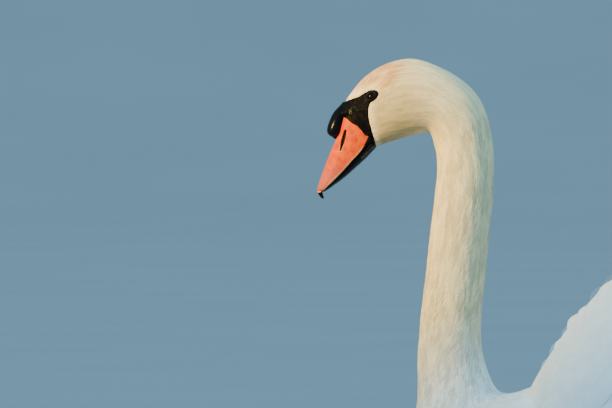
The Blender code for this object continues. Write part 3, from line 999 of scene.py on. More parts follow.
@shared
def coat_tree():
    """Feathers rooted all over a bed, which carries their lie and size, and where their roots unwrap to."""
    outputs = (("Coat", "NodeSocketGeometry"),)
    tree, given, out = new_tree("Feather coat", "GeometryNodeTree", COAT_INPUTS, outputs)
    bed, seed = given.outputs["Bed"], given.outputs["Seed"]

    def carried(name, kind="FLOAT_VECTOR"):
        return add(tree, "GeometryNodeInputNamedAttribute", {"Name": name}, data_type=kind)

    def chance(low, high, step):
        inputs = {"Min": low, "Max": high, "Seed": plus(tree, seed, float(step))}
        return add(tree, "FunctionNodeRandomValue", inputs, data_type="FLOAT")

    def scaled(vector, factor):
        return add(tree, "ShaderNodeVectorMath", {0: vector, "Scale": factor}, operation="SCALE")

    def summed(one, other):
        return add(tree, "ShaderNodeVectorMath", {0: one, 1: other}, operation="ADD")

    def parts(name):
        return add(tree, "ShaderNodeSeparateXYZ", {0: carried(name)}).outputs

    def on_bed(value, place):
        inputs = {"Mesh": bed, "Value": value, "Sample Position": place}
        return add(tree, "GeometryNodeSampleNearestSurface", inputs, data_type="FLOAT_VECTOR")

    def stored(geometry, name, value, kind, domain):
        inputs = {"Geometry": geometry, "Name": name, "Value": value}
        return add(tree, "GeometryNodeStoreNamedAttribute", inputs, data_type=kind, domain=domain)

    inputs = {0: carried("growth", "FLOAT"), 1: LEAST_GROWTH}
    grown = add(tree, "FunctionNodeCompare", inputs, operation="GREATER_THAN")
    ground = add(tree, "GeometryNodeSeparateGeometry", {"Geometry": bed, "Selection": grown}, domain="FACE")
    inputs = {
        "Mesh": ground.outputs[0],
        "Distance Min": given.outputs["Spacing"],
        "Density Max": DENSEST,
        "Density Factor": carried("growth", "FLOAT"),
        "Seed": seed,
    }
    roots = add(tree, "GeometryNodeDistributePointsOnFaces", inputs, distribute_method="POISSON")

    stray = times(tree, given.outputs["Stray"], chance(-1.0, 1.0, 1))
    inputs = {"Vector": carried("lie"), "Axis": carried("out"), "Angle": stray}
    lie = add(tree, "ShaderNodeVectorRotate", inputs)
    axes = {"Primary Axis": lie, "Secondary Axis": carried("out")}
    change = times(tree, given.outputs["Size change"], chance(-1.0, 1.0, 2))
    vane = add(tree, "GeometryNodeObjectInfo", {"Object": given.outputs["Vane"]})
    inputs = {
        "Points": roots.outputs["Points"],
        "Instance": vane.outputs["Geometry"],
        "Rotation": add(tree, "FunctionNodeAxesToRotation", axes, primary_axis="X", secondary_axis="Z"),
        "Scale": scaled(carried("size"), plus(tree, change, 1.0)),
    }
    feathers = add(tree, "GeometryNodeInstanceOnPoints", inputs)
    toned = stored(feathers, "tone", chance(0.0, 1.0, 3), "FLOAT", "INSTANCE")
    solid = add(tree, "GeometryNodeRealizeInstances", {"Geometry": toned})

    place = add(tree, "GeometryNodeInputPosition")
    size, shape = parts("size"), parts("shape")
    lift = scaled(on_bed(carried("out"), place), times(tree, shape["Z"], size["Z"]))
    inputs = {"Geometry": solid, "Position": summed(on_bed(place, place), lift)}
    clinging = add(tree, "GeometryNodeSetPosition", inputs)
    inputs = {
        0: times(tree, shape["X"], size["X"]),
        1: times(tree, shape["Y"], size["Y"]),
        2: carried("tone", "FLOAT"),
    }
    own_place = add(tree, "ShaderNodeCombineXYZ", inputs)
    marked = stored(clinging, "vane", own_place, "FLOAT_VECTOR", "POINT")
    patch = summed(carried("root"), scaled(carried("shape"), given.outputs["Patch"]))
    last = stored(marked, "OFBake", patch, "FLOAT2", "CORNER")
    for name in ("lie", "out", "size", "root", "growth", "shape", "tone"):
        last = add(tree, "GeometryNodeRemoveAttribute", {"Geometry": last, "Name": name})
    smooth_faces = add(tree, "GeometryNodeSetShadeSmooth", {"Geometry": last})
    inputs = {"Geometry": smooth_faces, "Material": given.outputs["Material"]}
    feed(tree, out, {"Coat": add(tree, "GeometryNodeSetMaterial", inputs)})
    return tree


# Half widths of a feather at shares of its length, from root to tip, as shares of its full width.
DOWN_OUTLINE = ((0.0, 0.0), (0.2, 0.46), (0.5, 0.5), (0.8, 0.32), (1.0, 0.0))
LOCK_OUTLINE = ((0.0, 0.0), (0.16, 0.44), (0.4, 0.5), (0.66, 0.4), (0.88, 0.2), (1.0, 0.0))
CONTOUR_OUTLINE = ((0.0, 0.0), (0.18, 0.42), (0.45, 0.5), (0.72, 0.5), (0.88, 0.42), (0.97, 0.22), (1.0, 0.0))


def new_vane(name, outline, rows, camber, slope):
    """A closed feather one unit long and wide. Its attribute shape holds along, across and height.

    It rises from the skin over its first fifth, then by slope, a share of the coat's depth, up to its tip.
    """
    points, faces = [], []
    inner = outline[1:-1]
    for share, half in inner:
        for v in np.linspace(-1, 1, rows + 1):
            rise = (1 - slope) * smooth(0, 0.2, share) + slope * share - camber * v * v
            points.append((share, half * v, rise))
    first, last = len(points), len(points) + 1
    points.append((0.0, 0.0, -0.15))
    points.append((1.0, 0.0, 1 - camber * 0.6))
    stride = rows + 1
    for i in range(len(inner) - 1):
        for j in range(rows):
            k = i * stride + j
            faces.append((k, k + stride, k + stride + 1, k + 1))
        k = i * stride
        faces.append((k, k + rows, k + stride + rows, k + stride))
    end = (len(inner) - 1) * stride
    for j in range(rows):
        faces.append((first, j, j + 1))
        faces.append((last, end + j + 1, end + j))
    faces.append((first, rows, 0))
    faces.append((last, end, end + rows))
    made = closed_body(name, points, faces)
    store(made, "shape", points, "FLOAT_VECTOR")
    edit(made, sharpen_rim)
    write_points(made, [(x, y, 0) for x, y, _ in points])
    return made


def sharpen_rim(bm):
    """Keep the shading of a feather's upper side apart from that of its underside."""
    for edge in bm.edges:
        one, other = edge.link_faces
        edge.smooth = one.normal.z * other.normal.z > 0


def lay_bed(name, sheet, along, across, sunk, lie, size, growth):
    """A mesh of points on a sheet, sunk under it, which says how the feathers on it grow.

    Every value is a grid or a number.
    """
    a, b = np.broadcast_arrays(along[:, None], across[None, :])
    points, out, _, _ = sheet.read(a, b)
    bed = new_mesh_object(name + "_bed", points - out * sunk[..., None], grid_faces(*a.shape).tolist())
    patch_places = np.stack([(a - a[0, 0]) / np.ptp(a), (b - b[0, 0]) / np.ptp(b), np.zeros_like(a)], axis=-1)
    for field, values in (("out", out), ("lie", lie), ("size", size), ("root", 0.01 + 0.98 * patch_places)):
        store(bed, field, values, "FLOAT_VECTOR")
    store(bed, "growth", growth)
    return bed


def grow(name, bed, vane, covering, spacing, seed, settings):
    """Feathers on a bed, as one plain mesh in the bed's place."""
    tree = coat_tree()
    bed.name = name
    step = modify(bed, "NODES", node_group=tree)
    values = {
        "Vane": vane,
        "Material": covering,
        "Spacing": spacing,
        "Stray": settings.stray,
        "Size change": settings.size_change,
        "Patch": settings.patch,
        "Seed": seed,
    }
    sockets = {item.name: item.identifier for item in tree.interface.items_tree if item.in_out == "INPUT"}
    for label, value in values.items():
        step[sockets[label]] = value
    applied(bed)
    return finish(bed, covering, "plumage")


# ---------------------------------------------------------------- skin and bare parts


def make_skin(settings):
    """Neck, head, trunk and rump as one tube, joined with both wings' arms and sunk by the coat's depth."""
    along = np.linspace(0, BODY.along(20.5), 300)[:, None]
    points, out, _, _ = BODY.read(*np.broadcast_arrays(along, np.linspace(0, 1, 161)[None, :-1]))
    depth = coat_size(BODY.place(along))[..., 2:] * settings.sink
    points = points - out * depth
    points[..., 2] = np.maximum(points[..., 2], SKIN_CLEARANCE)
    skin = tube("skin", points)
    cores = []
    for side, _ in SIDES:
        outer, _ = WINGS[side]
        a = np.linspace(0.01, 0.9, 90)[:, None]
        top = np.interp(a, *ARM_TOP)
        a, u = np.broadcast_arrays(a, 0.03 + (top - 0.03) * np.linspace(0, 1, 40)[None, :])
        points, out, _, _ = outer.read(a, u)
        whole = wing_thickness(a, u)[..., None]
        thick = np.maximum(whole - settings.wing_sink * 2, settings.wing_core)
        upper = points - out * (whole - thick) / 2
        core = slab("wing_core_" + side, upper, upper - out * thick)
        modify(skin, "BOOLEAN", operation="UNION", solver="MANIFOLD", object=core)
        cores.append(core)
    applied(skin)
    remove(*cores)
    skin.data.shade_smooth()
    nodes = ("head", "neck_upper", "neck_middle", "neck_lower", "trunk", "tail", "wing_left", "wing_right")
    finish(skin, skin_material(bpy.context.scene.swan_plumage), "plumage", *nodes)


def loose_points(bm):
    """Delete the points that no face uses."""
    bmesh.ops.delete(bm, geom=[vert for vert in bm.verts if not vert.link_faces], context="VERTS")


def bare_shell(settings):
    """The bare skin between eye and bill, a shell whose edge is tucked under the first feathers."""
    along = np.linspace(-1.5 * MM / BODY.length, BODY.along(1.9), 150)
    a, b = np.broadcast_arrays(along[:, None], np.linspace(0, 1, 421)[None, :-1])
    points, out, _, _ = BODY.read(a, b)
    inside = depth_inside(side_view(points), closed_curve(BARE_FACE)) * MM
    proud = smooth(-0.2 * MM, 0.9 * MM, inside) * settings.proud
    sunk = smooth(0, -2.0 * MM, inside) * 2.2 * MM
    points = points + out * (proud - sunk)[..., None]
    kept = (inside > -2.6 * MM).ravel()
    quads = wrapped_quads(*a.shape, len(a) - 1, turned=True)
    face = new_mesh_object("bare_face", points, quads[kept[quads].any(axis=1)].tolist())
    edit(face, loose_points)
    modify(face, "SOLIDIFY", thickness=2.0 * MM, offset=-1)
    return applied(face)


def rounded(name, table, section, columns=90, rows=121):
    """A closed body along a bill table, round at both ends."""
    loops = with_round_end(bill_loops(table, section, columns, rows), 2.5 * MM)
    loops = with_round_end(loops[::-1], 2.0 * MM)
    return tube(name, loops[:, :-1])


def make_bare_face(settings):
    """The black skin between eye and bill and the knob on the bill's base, melted into one body."""
    face = bare_shell(settings)
    parts = [rounded("knob", KNOB, KNOB_SECTION), rounded("saddle", SADDLE, KNOB_SECTION)]
    edit(face, lambda bm: [bm.from_mesh(part.data) for part in parts])
    remove(*parts)
    modify(face, "REMESH", mode="VOXEL", voxel_size=settings.voxel, use_smooth_shade=True)
    applied(face)
    x, _, z = read_vertices(face).T / MM
    on_knob = smooth(-379, -388, x) * smooth(500, 508, z)
    soft = face.vertex_groups.new(name="soft")
    levels = 8
    for level in range(1, levels + 1):
        chosen = np.nonzero((smooth(-368, -380, x) * levels).round() == level)[0]
        soft.add(chosen.tolist(), level / levels, "REPLACE")
    for group, repeat in (("soft", 24), ("", 2)):
        modify(face, "SMOOTH", factor=0.5, iterations=repeat, vertex_group=group)
    applied(face)
    points, out = read_vertices(face), read_vertices(face, "normal")
    fine = noise(points, settings.lump * 0.45, 6) * 0.5 + noise(points, settings.lump * 0.25, 7) * 0.3
    lores = (noise(points, settings.lump, 5) * 0.5 + fine) * settings.relief
    knob = noise(points, settings.lump * 2.4, 21) * settings.knob_relief + fine * settings.relief * 0.25
    write_points(face, points + out * (lores * (1 - on_knob) + knob * on_knob)[:, None])
    store(face, "on_knob", on_knob)
    finish(face, face_material(settings), "bare_black", "bill_knob")


def bill_loops(table, section, columns, rows):
    """Loops along a bill table, evenly spaced round; the last point of each loop repeats its first."""
    top_x, top_z, low_x, low_z, half = np.moveaxis(
        read_rows(table, np.linspace(0, len(table) - 1, columns)[:, None]), -1, 0
    )
    turn = np.linspace(0, 1, 721)[None, :]
    return evened(loop_points((top_x, top_z), (low_x, low_z), half, section, turn), rows)


def with_root(loops, reach, shrink=1.0):
    """The loops with one more before the first, set back by reach, to root the piece in its neighbour."""
    middles = loops.mean(axis=1)
    back = unit(middles[0] - middles[3]) * reach
    root = middles[0] + (loops[0] - middles[0]) * shrink + back
    return np.concatenate([root[None], loops])


def with_round_end(loops, reach, steps=6):
    """The loops with more beyond the last that close it in a rounded end."""
    middle = loops[-1, :-1].mean(axis=0)
    forward = unit(middle - loops[-3, :-1].mean(axis=0)) * reach
    more = []
    for angle in np.linspace(0, math.pi / 2, steps + 1)[1:]:
        more.append(middle + (loops[-1] - middle) * max(math.cos(angle), 0.03) + forward * math.sin(angle))
    return np.concatenate([loops, np.array(more)])


def surface_of(loops):
    """Points and outward normals of loops whose last point repeats the first."""
    grid = Sheet(loops, 0, wraps=True).grid
    return grid[:, :-1, :3], grid[:, :-1, 3:6]


def make_upper_bill(settings):
    loops = with_root(bill_loops(UPPER_BILL, UPPER_BILL_SECTION, 190, 181), 3.5 * MM)
    points, out = surface_of(loops)
    view = side_view(points)
    field = depth_inside(view, closed_curve(ORANGE_FIELD)) * MM
    slit = spindle_distance(view, *NOSTRIL) * MM
    orange = smooth(-0.5 * MM, 0.5 * MM, field)
    lip = np.exp(-(((field - 1.0 * MM) / (0.7 * MM)) ** 2)) * smooth(0.512, 0.500, points[..., 2])
    hole = smooth(settings.nostril, settings.nostril * 0.45, slit)
    height = orange * settings.orange_rise + lip * settings.lip
    height = height + noise(points, 7 * MM, 11) * 0.25 * MM - hole * settings.nostril_depth
    bill = tube("bill_skin", points + out * height[..., None])
    store(bill, "orange_depth", np.minimum(field, slit - settings.nostril * 0.8))
    finish(bill, bill_material("bill_skin", settings), "bill_orange", "bill_upper")


def make_lower_bill(settings):
    loops = bill_loops(LOWER_BILL, LOWER_BILL_SECTION, 120, 97)
    points, out = surface_of(with_round_end(with_root(loops, 3 * MM, 0.6), 2.5 * MM))
    line = distance_to(side_view(points), *GAPE_LINE) * MM
    height = noise(points, 5 * MM, 12) * 0.25 * MM + 0.3 * MM * smooth(1.0 * MM, 0.3 * MM, line)
    bill = tube("lower_bill", points + out * height[..., None])
    store(bill, "gape", line)
    finish(bill, lower_bill_material(settings), "bare_black", "bill_lower")


def make_nail(settings):
    loops = with_round_end(with_root(bill_loops(NAIL, NAIL_SECTION, 40, 73), 2 * MM), 1.5 * MM)
    nail = tube("bill_tip", loops[:, :-1])
    store(nail, "orange_depth", depth_inside(side_view(loops[:, :-1]), closed_curve(ORANGE_FIELD)) * MM)
    finish(nail, bill_material("bill_tip_horn", settings), "bare_black", "bill_nail")


def eye_frame(side):
    """The eye's centre and radius, its place on the head, and its outward, forward and upward axes."""
    low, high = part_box("eye_" + side)
    centre, radius = np.array((low + high) / 2), (high.z - low.z) / 2
    nearest = np.linalg.norm(BODY.grid[..., :3] - centre, axis=-1)
    i, j = np.unravel_index(nearest.argmin(), nearest.shape)
    columns, rows = BODY.grid.shape[:2]
    out = BODY.grid[i, j, 3:6]
    forward = unit(np.array(EYE_FORWARD) - out * (out @ np.array(EYE_FORWARD)))
    up = np.cross(forward, out)
    up = up if up[2] > 0 else -up
    return centre, radius, (i / (columns - 1), j / (rows - 1)), out, forward, up


def make_eyes(settings):
    for side, _ in SIDES:
        centre, radius, _, out, forward, up = eye_frame(side)
        turn, tilt = np.meshgrid(np.linspace(0, 2 * np.pi, 49)[:-1], np.linspace(0.02, np.pi - 0.02, 40))
        aside = np.cos(turn)[..., None] * forward + np.sin(turn)[..., None] * up
        rays = np.cos(tilt)[..., None] * settings.bulge * out + np.sin(tilt)[..., None] * aside
        eye = tube("eyeball_" + side, centre + rays * (radius - 0.05 * MM))
        store(eye, "from_axis", tilt)
        finish(eye, eye_material(settings), "eye_dark", "eye_" + side)


def make_eyelids(settings):
    """A rounded rim of black skin round each eye, from its almond opening out to the bare face."""
    covering = black_skin_material("eyelid_skin", settings.lid_colour, 0.0009, 0.35, 0.0003)
    for side, _ in SIDES:
        centre, radius, (a, b), out, forward, up = eye_frame(side)
        turn = np.linspace(0, 2 * np.pi, 65)[:-1]
        corner = 1 - 0.15 * np.cos(turn)
        x, y = settings.opening_length / 2 * np.cos(turn), settings.opening_height / 2 * np.sin(turn) * corner
        reach = np.hypot(x, y)
        way = (x[:, None] * forward + y[:, None] * up) / reach[:, None]

        def on_ball(more):
            r = (reach + more)[:, None]
            high = np.sqrt(np.maximum(radius**2 - r**2, 0.01 * MM**2))
            return centre + out * settings.bulge * high + way * r

        def on_face(more):
            moves = way * (reach + more)[:, None]
            moved = places_moved(BODY, np.full(turn.shape, a), np.full(turn.shape, b), moves)
            points, facing, _, _ = BODY.read(*moved)
            return points + facing * 0.4 * MM

        thick = settings.lid_thick
        rim = [
            on_ball(0 * MM) - out * 0.6 * MM,
            on_ball(0 * MM) + out * 0.12 * MM,
            on_ball(0.45 * MM) + out * thick,
            on_ball(1.1 * MM) * 0.65 + on_face(1.1 * MM) * 0.35 + out * thick,
            on_ball(1.5 * MM) * 0.3 + on_face(1.5 * MM) * 0.7 + out * thick * 0.7,
            on_face(2.4 * MM) + out * 0.1 * MM,
            on_face(2.9 * MM) - out * 1.0 * MM,
            on_face(1.6 * MM) - out * 1.8 * MM,
        ]
        lid = ring_body("eyelid_" + side, np.stack(rim, axis=1))
        modify(lid, "SUBSURF", levels=2, render_levels=2)
        finish(applied(lid), covering, "bare_black")


def foot_points(across, forward, sign, top):
    """The web's surface: across runs from one side toe, -1, past the middle one, 0, to the other, 1."""
    toe = 0.5 + 0.5 * np.cos(2 * np.pi * across)
    reach = FOOT_LENGTH * (1 - WEB_NOTCH + WEB_NOTCH * (2 * toe - 1) * forward)
    reach = reach * (1 - SIDE_TOES_SHORTER * across * across)
    spread = FOOT_SPREAD * (ROOT_SPREAD + (1 - ROOT_SPREAD) * forward)
    knuckles = 1 + 0.3 * sum(np.exp(-(((forward - place) / 0.035) ** 2)) for place in (0.36, 0.62, 0.84))
    folds = 0.35 * MM * np.sin(forward * 46 + 5 * across) * (1 - toe) * forward
    rise = TOE_RISE * toe**TOE_NARROWNESS * (1 - TOE_TAPER * forward) * knuckles
    z = WEB_THICK + rise + folds if top else 0 * rise
    x, y = -reach * forward, sign * spread * across
    turn = -sign * FOOT_TURN
    root = np.array(LEG_BENDS[1]) * MM
    return np.stack(
        [
            x * math.cos(turn) - y * math.sin(turn) + root[0] - SHANK_RADIUS,
            x * math.sin(turn) + y * math.cos(turn) + sign * root[1],
            z,
        ],
        axis=-1,
    )


def claw_points(tip, forward, length, radius):
    """Loops of a claw that leaves tip forwards and curves down."""
    share = np.linspace(0, 1, 10)[:, None, None]
    turn = np.linspace(0, 2 * np.pi, 13)[None, :-1, None]
    side = unit(np.cross(forward, (0, 0, 1)))
    middle = tip + forward * length * share - np.array((0, 0, 1)) * length * 0.35 * share**2
    wide = radius * np.sqrt(1 - share * 0.98)
    return middle + wide * (side * np.cos(turn) + np.array((0, 0, 1)) * np.sin(turn))


def make_feet(settings):
    skin = foot_material(settings)
    horn = black_skin_material("claw_horn", (0.012, 0.011, 0.010), 0.003, 0.35, 0.0002)
    for side, sign in SIDES:
        across, forward = np.meshgrid(np.linspace(-1, 1, 113), np.linspace(0, 1, 97), indexing="ij")
        foot = slab(
            "web_" + side,
            foot_points(across, forward, sign, True),
            foot_points(across, forward, sign, False),
        )
        finish(foot, skin, "foot_grey", "foot_" + side)
        place = np.linspace(0, len(LEG_BENDS) - 1, 120)
        middles = read_rows(LEG_BENDS, place) * MM
        middles[:, 1] *= sign
        axis = unit(np.gradient(middles, axis=0))
        over = unit(np.cross(axis, (0, 1, 0)))
        other = np.cross(over, axis)
        turn = np.linspace(0, 2 * np.pi, 41)[:-1]
        swell = 0.28 * np.exp(-(((place - 3.9) / 0.5) ** 2))
        waist = 0.08 * np.exp(-(((place - 2.2) / 0.8) ** 2))
        ankle = (1 + swell - waist) * (0.45 + 0.55 * smooth(0, 1, place))
        ring = np.cos(turn)[None, :, None] * over[:, None] + np.sin(turn)[None, :, None] * other[:, None]
        points = middles[:, None] + ring * (SHANK_RADIUS * ankle)[:, None, None]
        points[..., 2] = np.maximum(points[..., 2], 0)
        finish(tube("shank_" + side, points), skin, "foot_grey", "leg_" + side)
        for number, toe in enumerate((-1.0, 0.0, 1.0)):
            tip = foot_points(np.array(toe), np.array(CLAW_ROOT), sign, True)
            ahead = unit(tip - foot_points(np.array(toe), np.array(0.8), sign, True))
            tip = tip - np.array((0, 0, CLAW_DROP))
            loops = claw_points(tip, ahead, settings.claw, settings.claw * CLAW_RADIUS)
            finish(tube(f"claw_{side}_{number + 1}", loops), horn, "bare_black")


# ---------------------------------------------------------------- coat


def margin_grid(start, end, step, margin):
    """Evenly spaced places that fall on start and end, and go on for a margin beyond both."""
    count = max(math.ceil((end - start) / step), 8)
    more = math.ceil(margin / (end - start) * count)
    return start + (end - start) * np.arange(-more, count + more + 1) / count


def within(value, low, high):
    """1 from low to high, both included, and 0 outside."""
    return ((value > low - 1e-9) & (value < high + 1e-9)).astype(float)


def body_lie(a, b, lean):
    """Tail-ward directions on the body, leaning towards the breast by an angle in radians."""
    _, _, along_it, across_it = BODY.read(a, b)
    back = unit(along_it)
    side = unit(across_it - back * (across_it * back).sum(-1, keepdims=True))
    turn = lean * np.sin(2 * np.pi * b)
    return back * np.cos(turn)[..., None] + side * np.sin(turn)[..., None]


def furrowed(place, a, b, furrows, seed):
    """Waves in the coat, whose width and length furrows gives, and a slow noise that turns its lie."""
    width, length = furrows
    turned = 2 * np.pi * b
    ring = np.interp(place, *GIRTHS) / (2 * np.pi * width)
    waves = np.stack([a * BODY.length / length, np.cos(turned) * ring, np.sin(turned) * ring], axis=-1)
    rough = noise(waves, 1.0, seed) * 0.65 + noise(waves * 2.1, 1.0, seed + 1) * 0.35
    return rough, noise(waves * 0.5, 1.0, seed + 2)


def body_coat(name, places, steps, vane, covering, spacing, seed, settings, height, furrows):
    """Feathers round a length of the body, in waves of a height whose width and length furrows gives."""
    start, end = BODY.along(places[0]), BODY.along(places[1])
    longest = coat_size(np.array(places))[:, 0].max()
    along = margin_grid(start, end, steps / BODY.length, 1.25 * longest / BODY.length)
    loop = BODY.read(np.array(end), np.linspace(0, 1, 60))[0]
    girth = np.linalg.norm(np.diff(loop, axis=0), axis=1).sum()
    across = margin_grid(0.0, 1.0, 1 / max(girth / steps, 120), 0.04)
    a, b = np.broadcast_arrays(along[:, None], across[None, :])
    place = BODY.place(a)
    points = BODY.read(a, b)[0]
    rough, wander = furrowed(place, a, b, furrows, seed)
    lie = body_lie(a, b, np.interp(place, *np.transpose(COAT_LEAN)) + 0.3 * wander)
    near_face = np.full(a.shape, -99.0)
    if places[0] < 2:
        near_face = depth_inside(side_view(points), closed_curve(BARE_FACE))
    growth = smooth(-0.3, -1.2, near_face) * within(b, 0, 1) * within(a, start, end)
    growth = growth * (points[..., 2] > 2 * MM)
    size = coat_size(place) * (0.85 + 0.15 * smooth(-0.5, -7.0, near_face))[..., None]
    sunk = size[..., 2] * settings.bed_depth - rough * height
    bed = lay_bed(name, BODY, along, across, sunk, lie, size, growth)
    # painted shade: the furrow attribute darkens the coat's colour in the waves' valleys, and fades to a
    # fifth between the FURROWS_END stations
    store(bed, "furrow", rough * (1 - 0.8 * smooth(*FURROWS_END, place)))
    coat = grow(name, bed, vane, covering, spacing, seed, settings)
    points = read_vertices(coat)
    points[:, 2] = np.maximum(points[:, 2], COAT_CLEARANCE)
    write_points(coat, points)


def places_moved(sheet, along, across, moves):
    """The places on a sheet reached from others by short moves in metres."""
    _, _, along_it, across_it = sheet.read(along, across)
    one, both, other = (along_it**2).sum(-1), (along_it * across_it).sum(-1), (across_it**2).sum(-1)
    first, second = (moves * along_it).sum(-1), (moves * across_it).sum(-1)
    area = one * other - both * both
    return along + (other * first - both * second) / area, across + (one * second - both * first) / area


def wing_lie(sheet, a, u):
    """The lie of the feathers at places on a wing."""
    _, out, along_it, across_it = sheet.read(a, u)
    back = unit(along_it)
    upward = unit(across_it - back * (across_it * back).sum(-1, keepdims=True))
    turns = np.interp(a, np.linspace(0, 1, len(WING_HEADINGS)), WING_HEADINGS)
    turns = np.radians(turns * (0.35 + 0.65 * np.clip(u, 0, 1)))[..., None]
    return back * np.cos(turns) + upward * np.sin(turns), out


def quill_shape(share, tip_from):
    """A long feather's half width at shares of its length: narrow at its root, then full, then round."""
    body = 0.45 + 0.55 * smooth(0, 0.4, share)
    tip = np.sqrt(np.maximum(1 - (np.maximum(share - tip_from, 0) / (1 - tip_from)) ** 2, 0.004))
    return body * tip


def shares_along(body, count, more):
    """Shares of a feather's length: even up to body, then closer and closer towards its tip."""
    tip = body + (1 - body) * np.sin(np.linspace(0, np.pi / 2, more))
    return np.concatenate([np.linspace(0, body, count), tip[1:]])


def quills(name, sheet, tips, length, width, lift, settings, seed, tip_from, narrow_tip):
    """Long feathers that end at tips, places on a sheet, and run back from there along the lie.

    lift says how high each feather's root, its front edge and its rear edge stand over the sheet at the tip.
    """
    draw = np.random.default_rng(seed)
    count = len(tips)
    length = np.broadcast_to(length, count) * (1 + 0.03 * draw.uniform(-1, 1, count))
    width = np.broadcast_to(width, count)
    share = shares_along(0.82, 20, 11)
    side = np.linspace(-1, 1, 9)
    a, u = tips[:, 0], tips[:, 1]
    stray = np.radians(2.0) * draw.uniform(-1, 1, count)
    line = [(a, u)]
    for step in -np.diff(share[::-1]):
        lie, out = wing_lie(sheet, a, u)
        across = np.cross(out, lie)
        way = lie * np.cos(stray)[:, None] + across * np.sin(stray)[:, None]
        a, u = places_moved(sheet, a, u, -way * (step * length)[:, None])
        line.append((a, u))
    a, u = np.array(line[::-1]).transpose(1, 2, 0)
    lie, out = wing_lie(sheet, a, u)
    forward_edge = np.cross(out, lie)
    forward_edge = forward_edge * np.sign((forward_edge * -sheet.read(a, u)[2]).sum(-1, keepdims=True))
    half = width[:, None] / 2 * quill_shape(share, tip_from) * (1 - narrow_tip * smooth(0.3, 1, share))
    ragged = 1 + 0.035 * draw.uniform(-1, 1, (count, len(share), 2)) * smooth(0.3, 0.8, share)[None, :, None]
    half_here = half[..., None] * np.where(side < 0, ragged[..., :1], ragged[..., 1:])
    move = -forward_edge[:, :, None] * (half_here * side)[..., None]
    spots = places_moved(sheet, *(np.broadcast_to(x[..., None], half_here.shape) for x in (a, u)), move)
    points, facing, _, _ = sheet.read(*spots)
    root, front, rear = lift
    slope = front + (rear - front) * (side + 1) / 2
    rise = root + (slope - root) * smooth(0, 0.85, share)[:, None]
    camber = settings.camber * (1 - side**2) * quill_shape(share, 0.9)[:, None]
    shaft = settings.shaft * np.exp(-((side / 0.09) ** 2)) * (1 - share)[:, None]
    top = points + facing * (rise + camber + shaft)[..., None]
    return quill_mesh(name, top, facing, settings.thick, (a, u), share, side, half, length, draw)


def quill_mesh(name, top, facing, thick, path, share, side, half, length, draw):
    """One mesh of closed feathers under their upper faces, thickest at the shaft.

    It carries each feather's own coordinates and its strip of the unwrap, which follows its path.
    """
    bottom = top - facing * (thick * (0.25 + 0.75 * (1 - side**2)))[:, None]
    count, columns, rows = top.shape[:3]
    starts = np.arange(count) * 2 * columns * rows
    faces = (slab_faces(columns, rows)[None] + starts[:, None, None]).reshape(-1, 4)
    points = np.stack([top, bottom], axis=1)
    made = closed_body(name, points, faces.tolist())
    vane = np.zeros(points.shape)
    vane[..., 0] = (share * length[:, None])[:, None, :, None]
    vane[..., 1] = (half[..., None] * side)[:, None]
    vane[..., 2] = draw.uniform(0, 1, count)[:, None, None, None]
    store(made, "vane", vane, "FLOAT_VECTOR")
    path = np.stack(path, axis=-1)
    way = unit(np.gradient(path, axis=1))
    normal = np.stack([-way[..., 1], way[..., 0]], axis=-1)
    low, high = path.min(axis=(0, 1)), path.max(axis=(0, 1))
    flat = 0.01 + 0.98 * (path - low) / (high - low)
    place = flat[:, :, None] + normal[:, :, None] * side[:, None] * bpy.context.scene.swan_plumage.patch / 2
    place = np.repeat(place[:, None], 2, axis=1).reshape(-1, 2)
    unwrap = made.data.uv_layers.new(name="OFBake")
    corners = np.empty(len(made.data.loops), int)
    made.data.loops.foreach_get("vertex_index", corners)
    unwrap.data.foreach_set("uv", place[corners].astype(np.float32).ravel())
    return made


def make_head_coat(settings):
    vane = new_vane("down", DOWN_OUTLINE, 2, settings.camber, settings.slope)
    covering = plumage("head_down", 0.0006, 0.0002, 0.14, 0.16, settings)
    for name, places, spacing in (
        ("coat_face", (0.02, 2.0), settings.head_spacing * 0.72),
        ("coat_head", (2.0, 4.25), settings.head_spacing),
    ):
        look = (vane, covering, spacing, 3, settings)
        body_coat(name, places, 1.1 * MM, *look, settings.head_furrow, HEAD_WAVES)
    remove(vane)


def make_neck_coat(settings):
    vane = new_vane("lock", LOCK_OUTLINE, 2, settings.camber, settings.slope)
    covering = plumage("neck_down", 0.0008, 0.0003, 0.16, 0.26, settings)
    look = (vane, covering, settings.neck_spacing, 7, settings)
    height, furrows = settings.neck_furrow, (settings.furrow_width, settings.furrow_length)
    for part, places in (("upper", (4.25, 6.6)), ("lower", (6.6, 9.2)), ("foot", (9.2, 10.3))):
        body_coat("coat_neck_" + part, places, 1.4 * MM, *look, height, furrows)
    remove(vane)


def make_body_coat(settings):
    vane = new_vane("contour_feather", CONTOUR_OUTLINE, 4, settings.camber * 0.6, settings.slope)
    covering = plumage("body_feathers", 0.0012, 0.0004, 0.06, 0.04, settings)
    for name, places, spacing in (
        ("coat_breast", (10.3, 12.3), settings.breast_spacing),
        ("coat_trunk", (12.3, 15.5), settings.body_spacing),
        ("coat_rump", (15.5, 20.3), settings.body_spacing),
    ):
        look = (vane, covering, spacing, 13, settings)
        body_coat(name, places, 5 * MM, *look, BODY_WAVE_HEIGHT, BODY_WAVES)
    remove(vane)


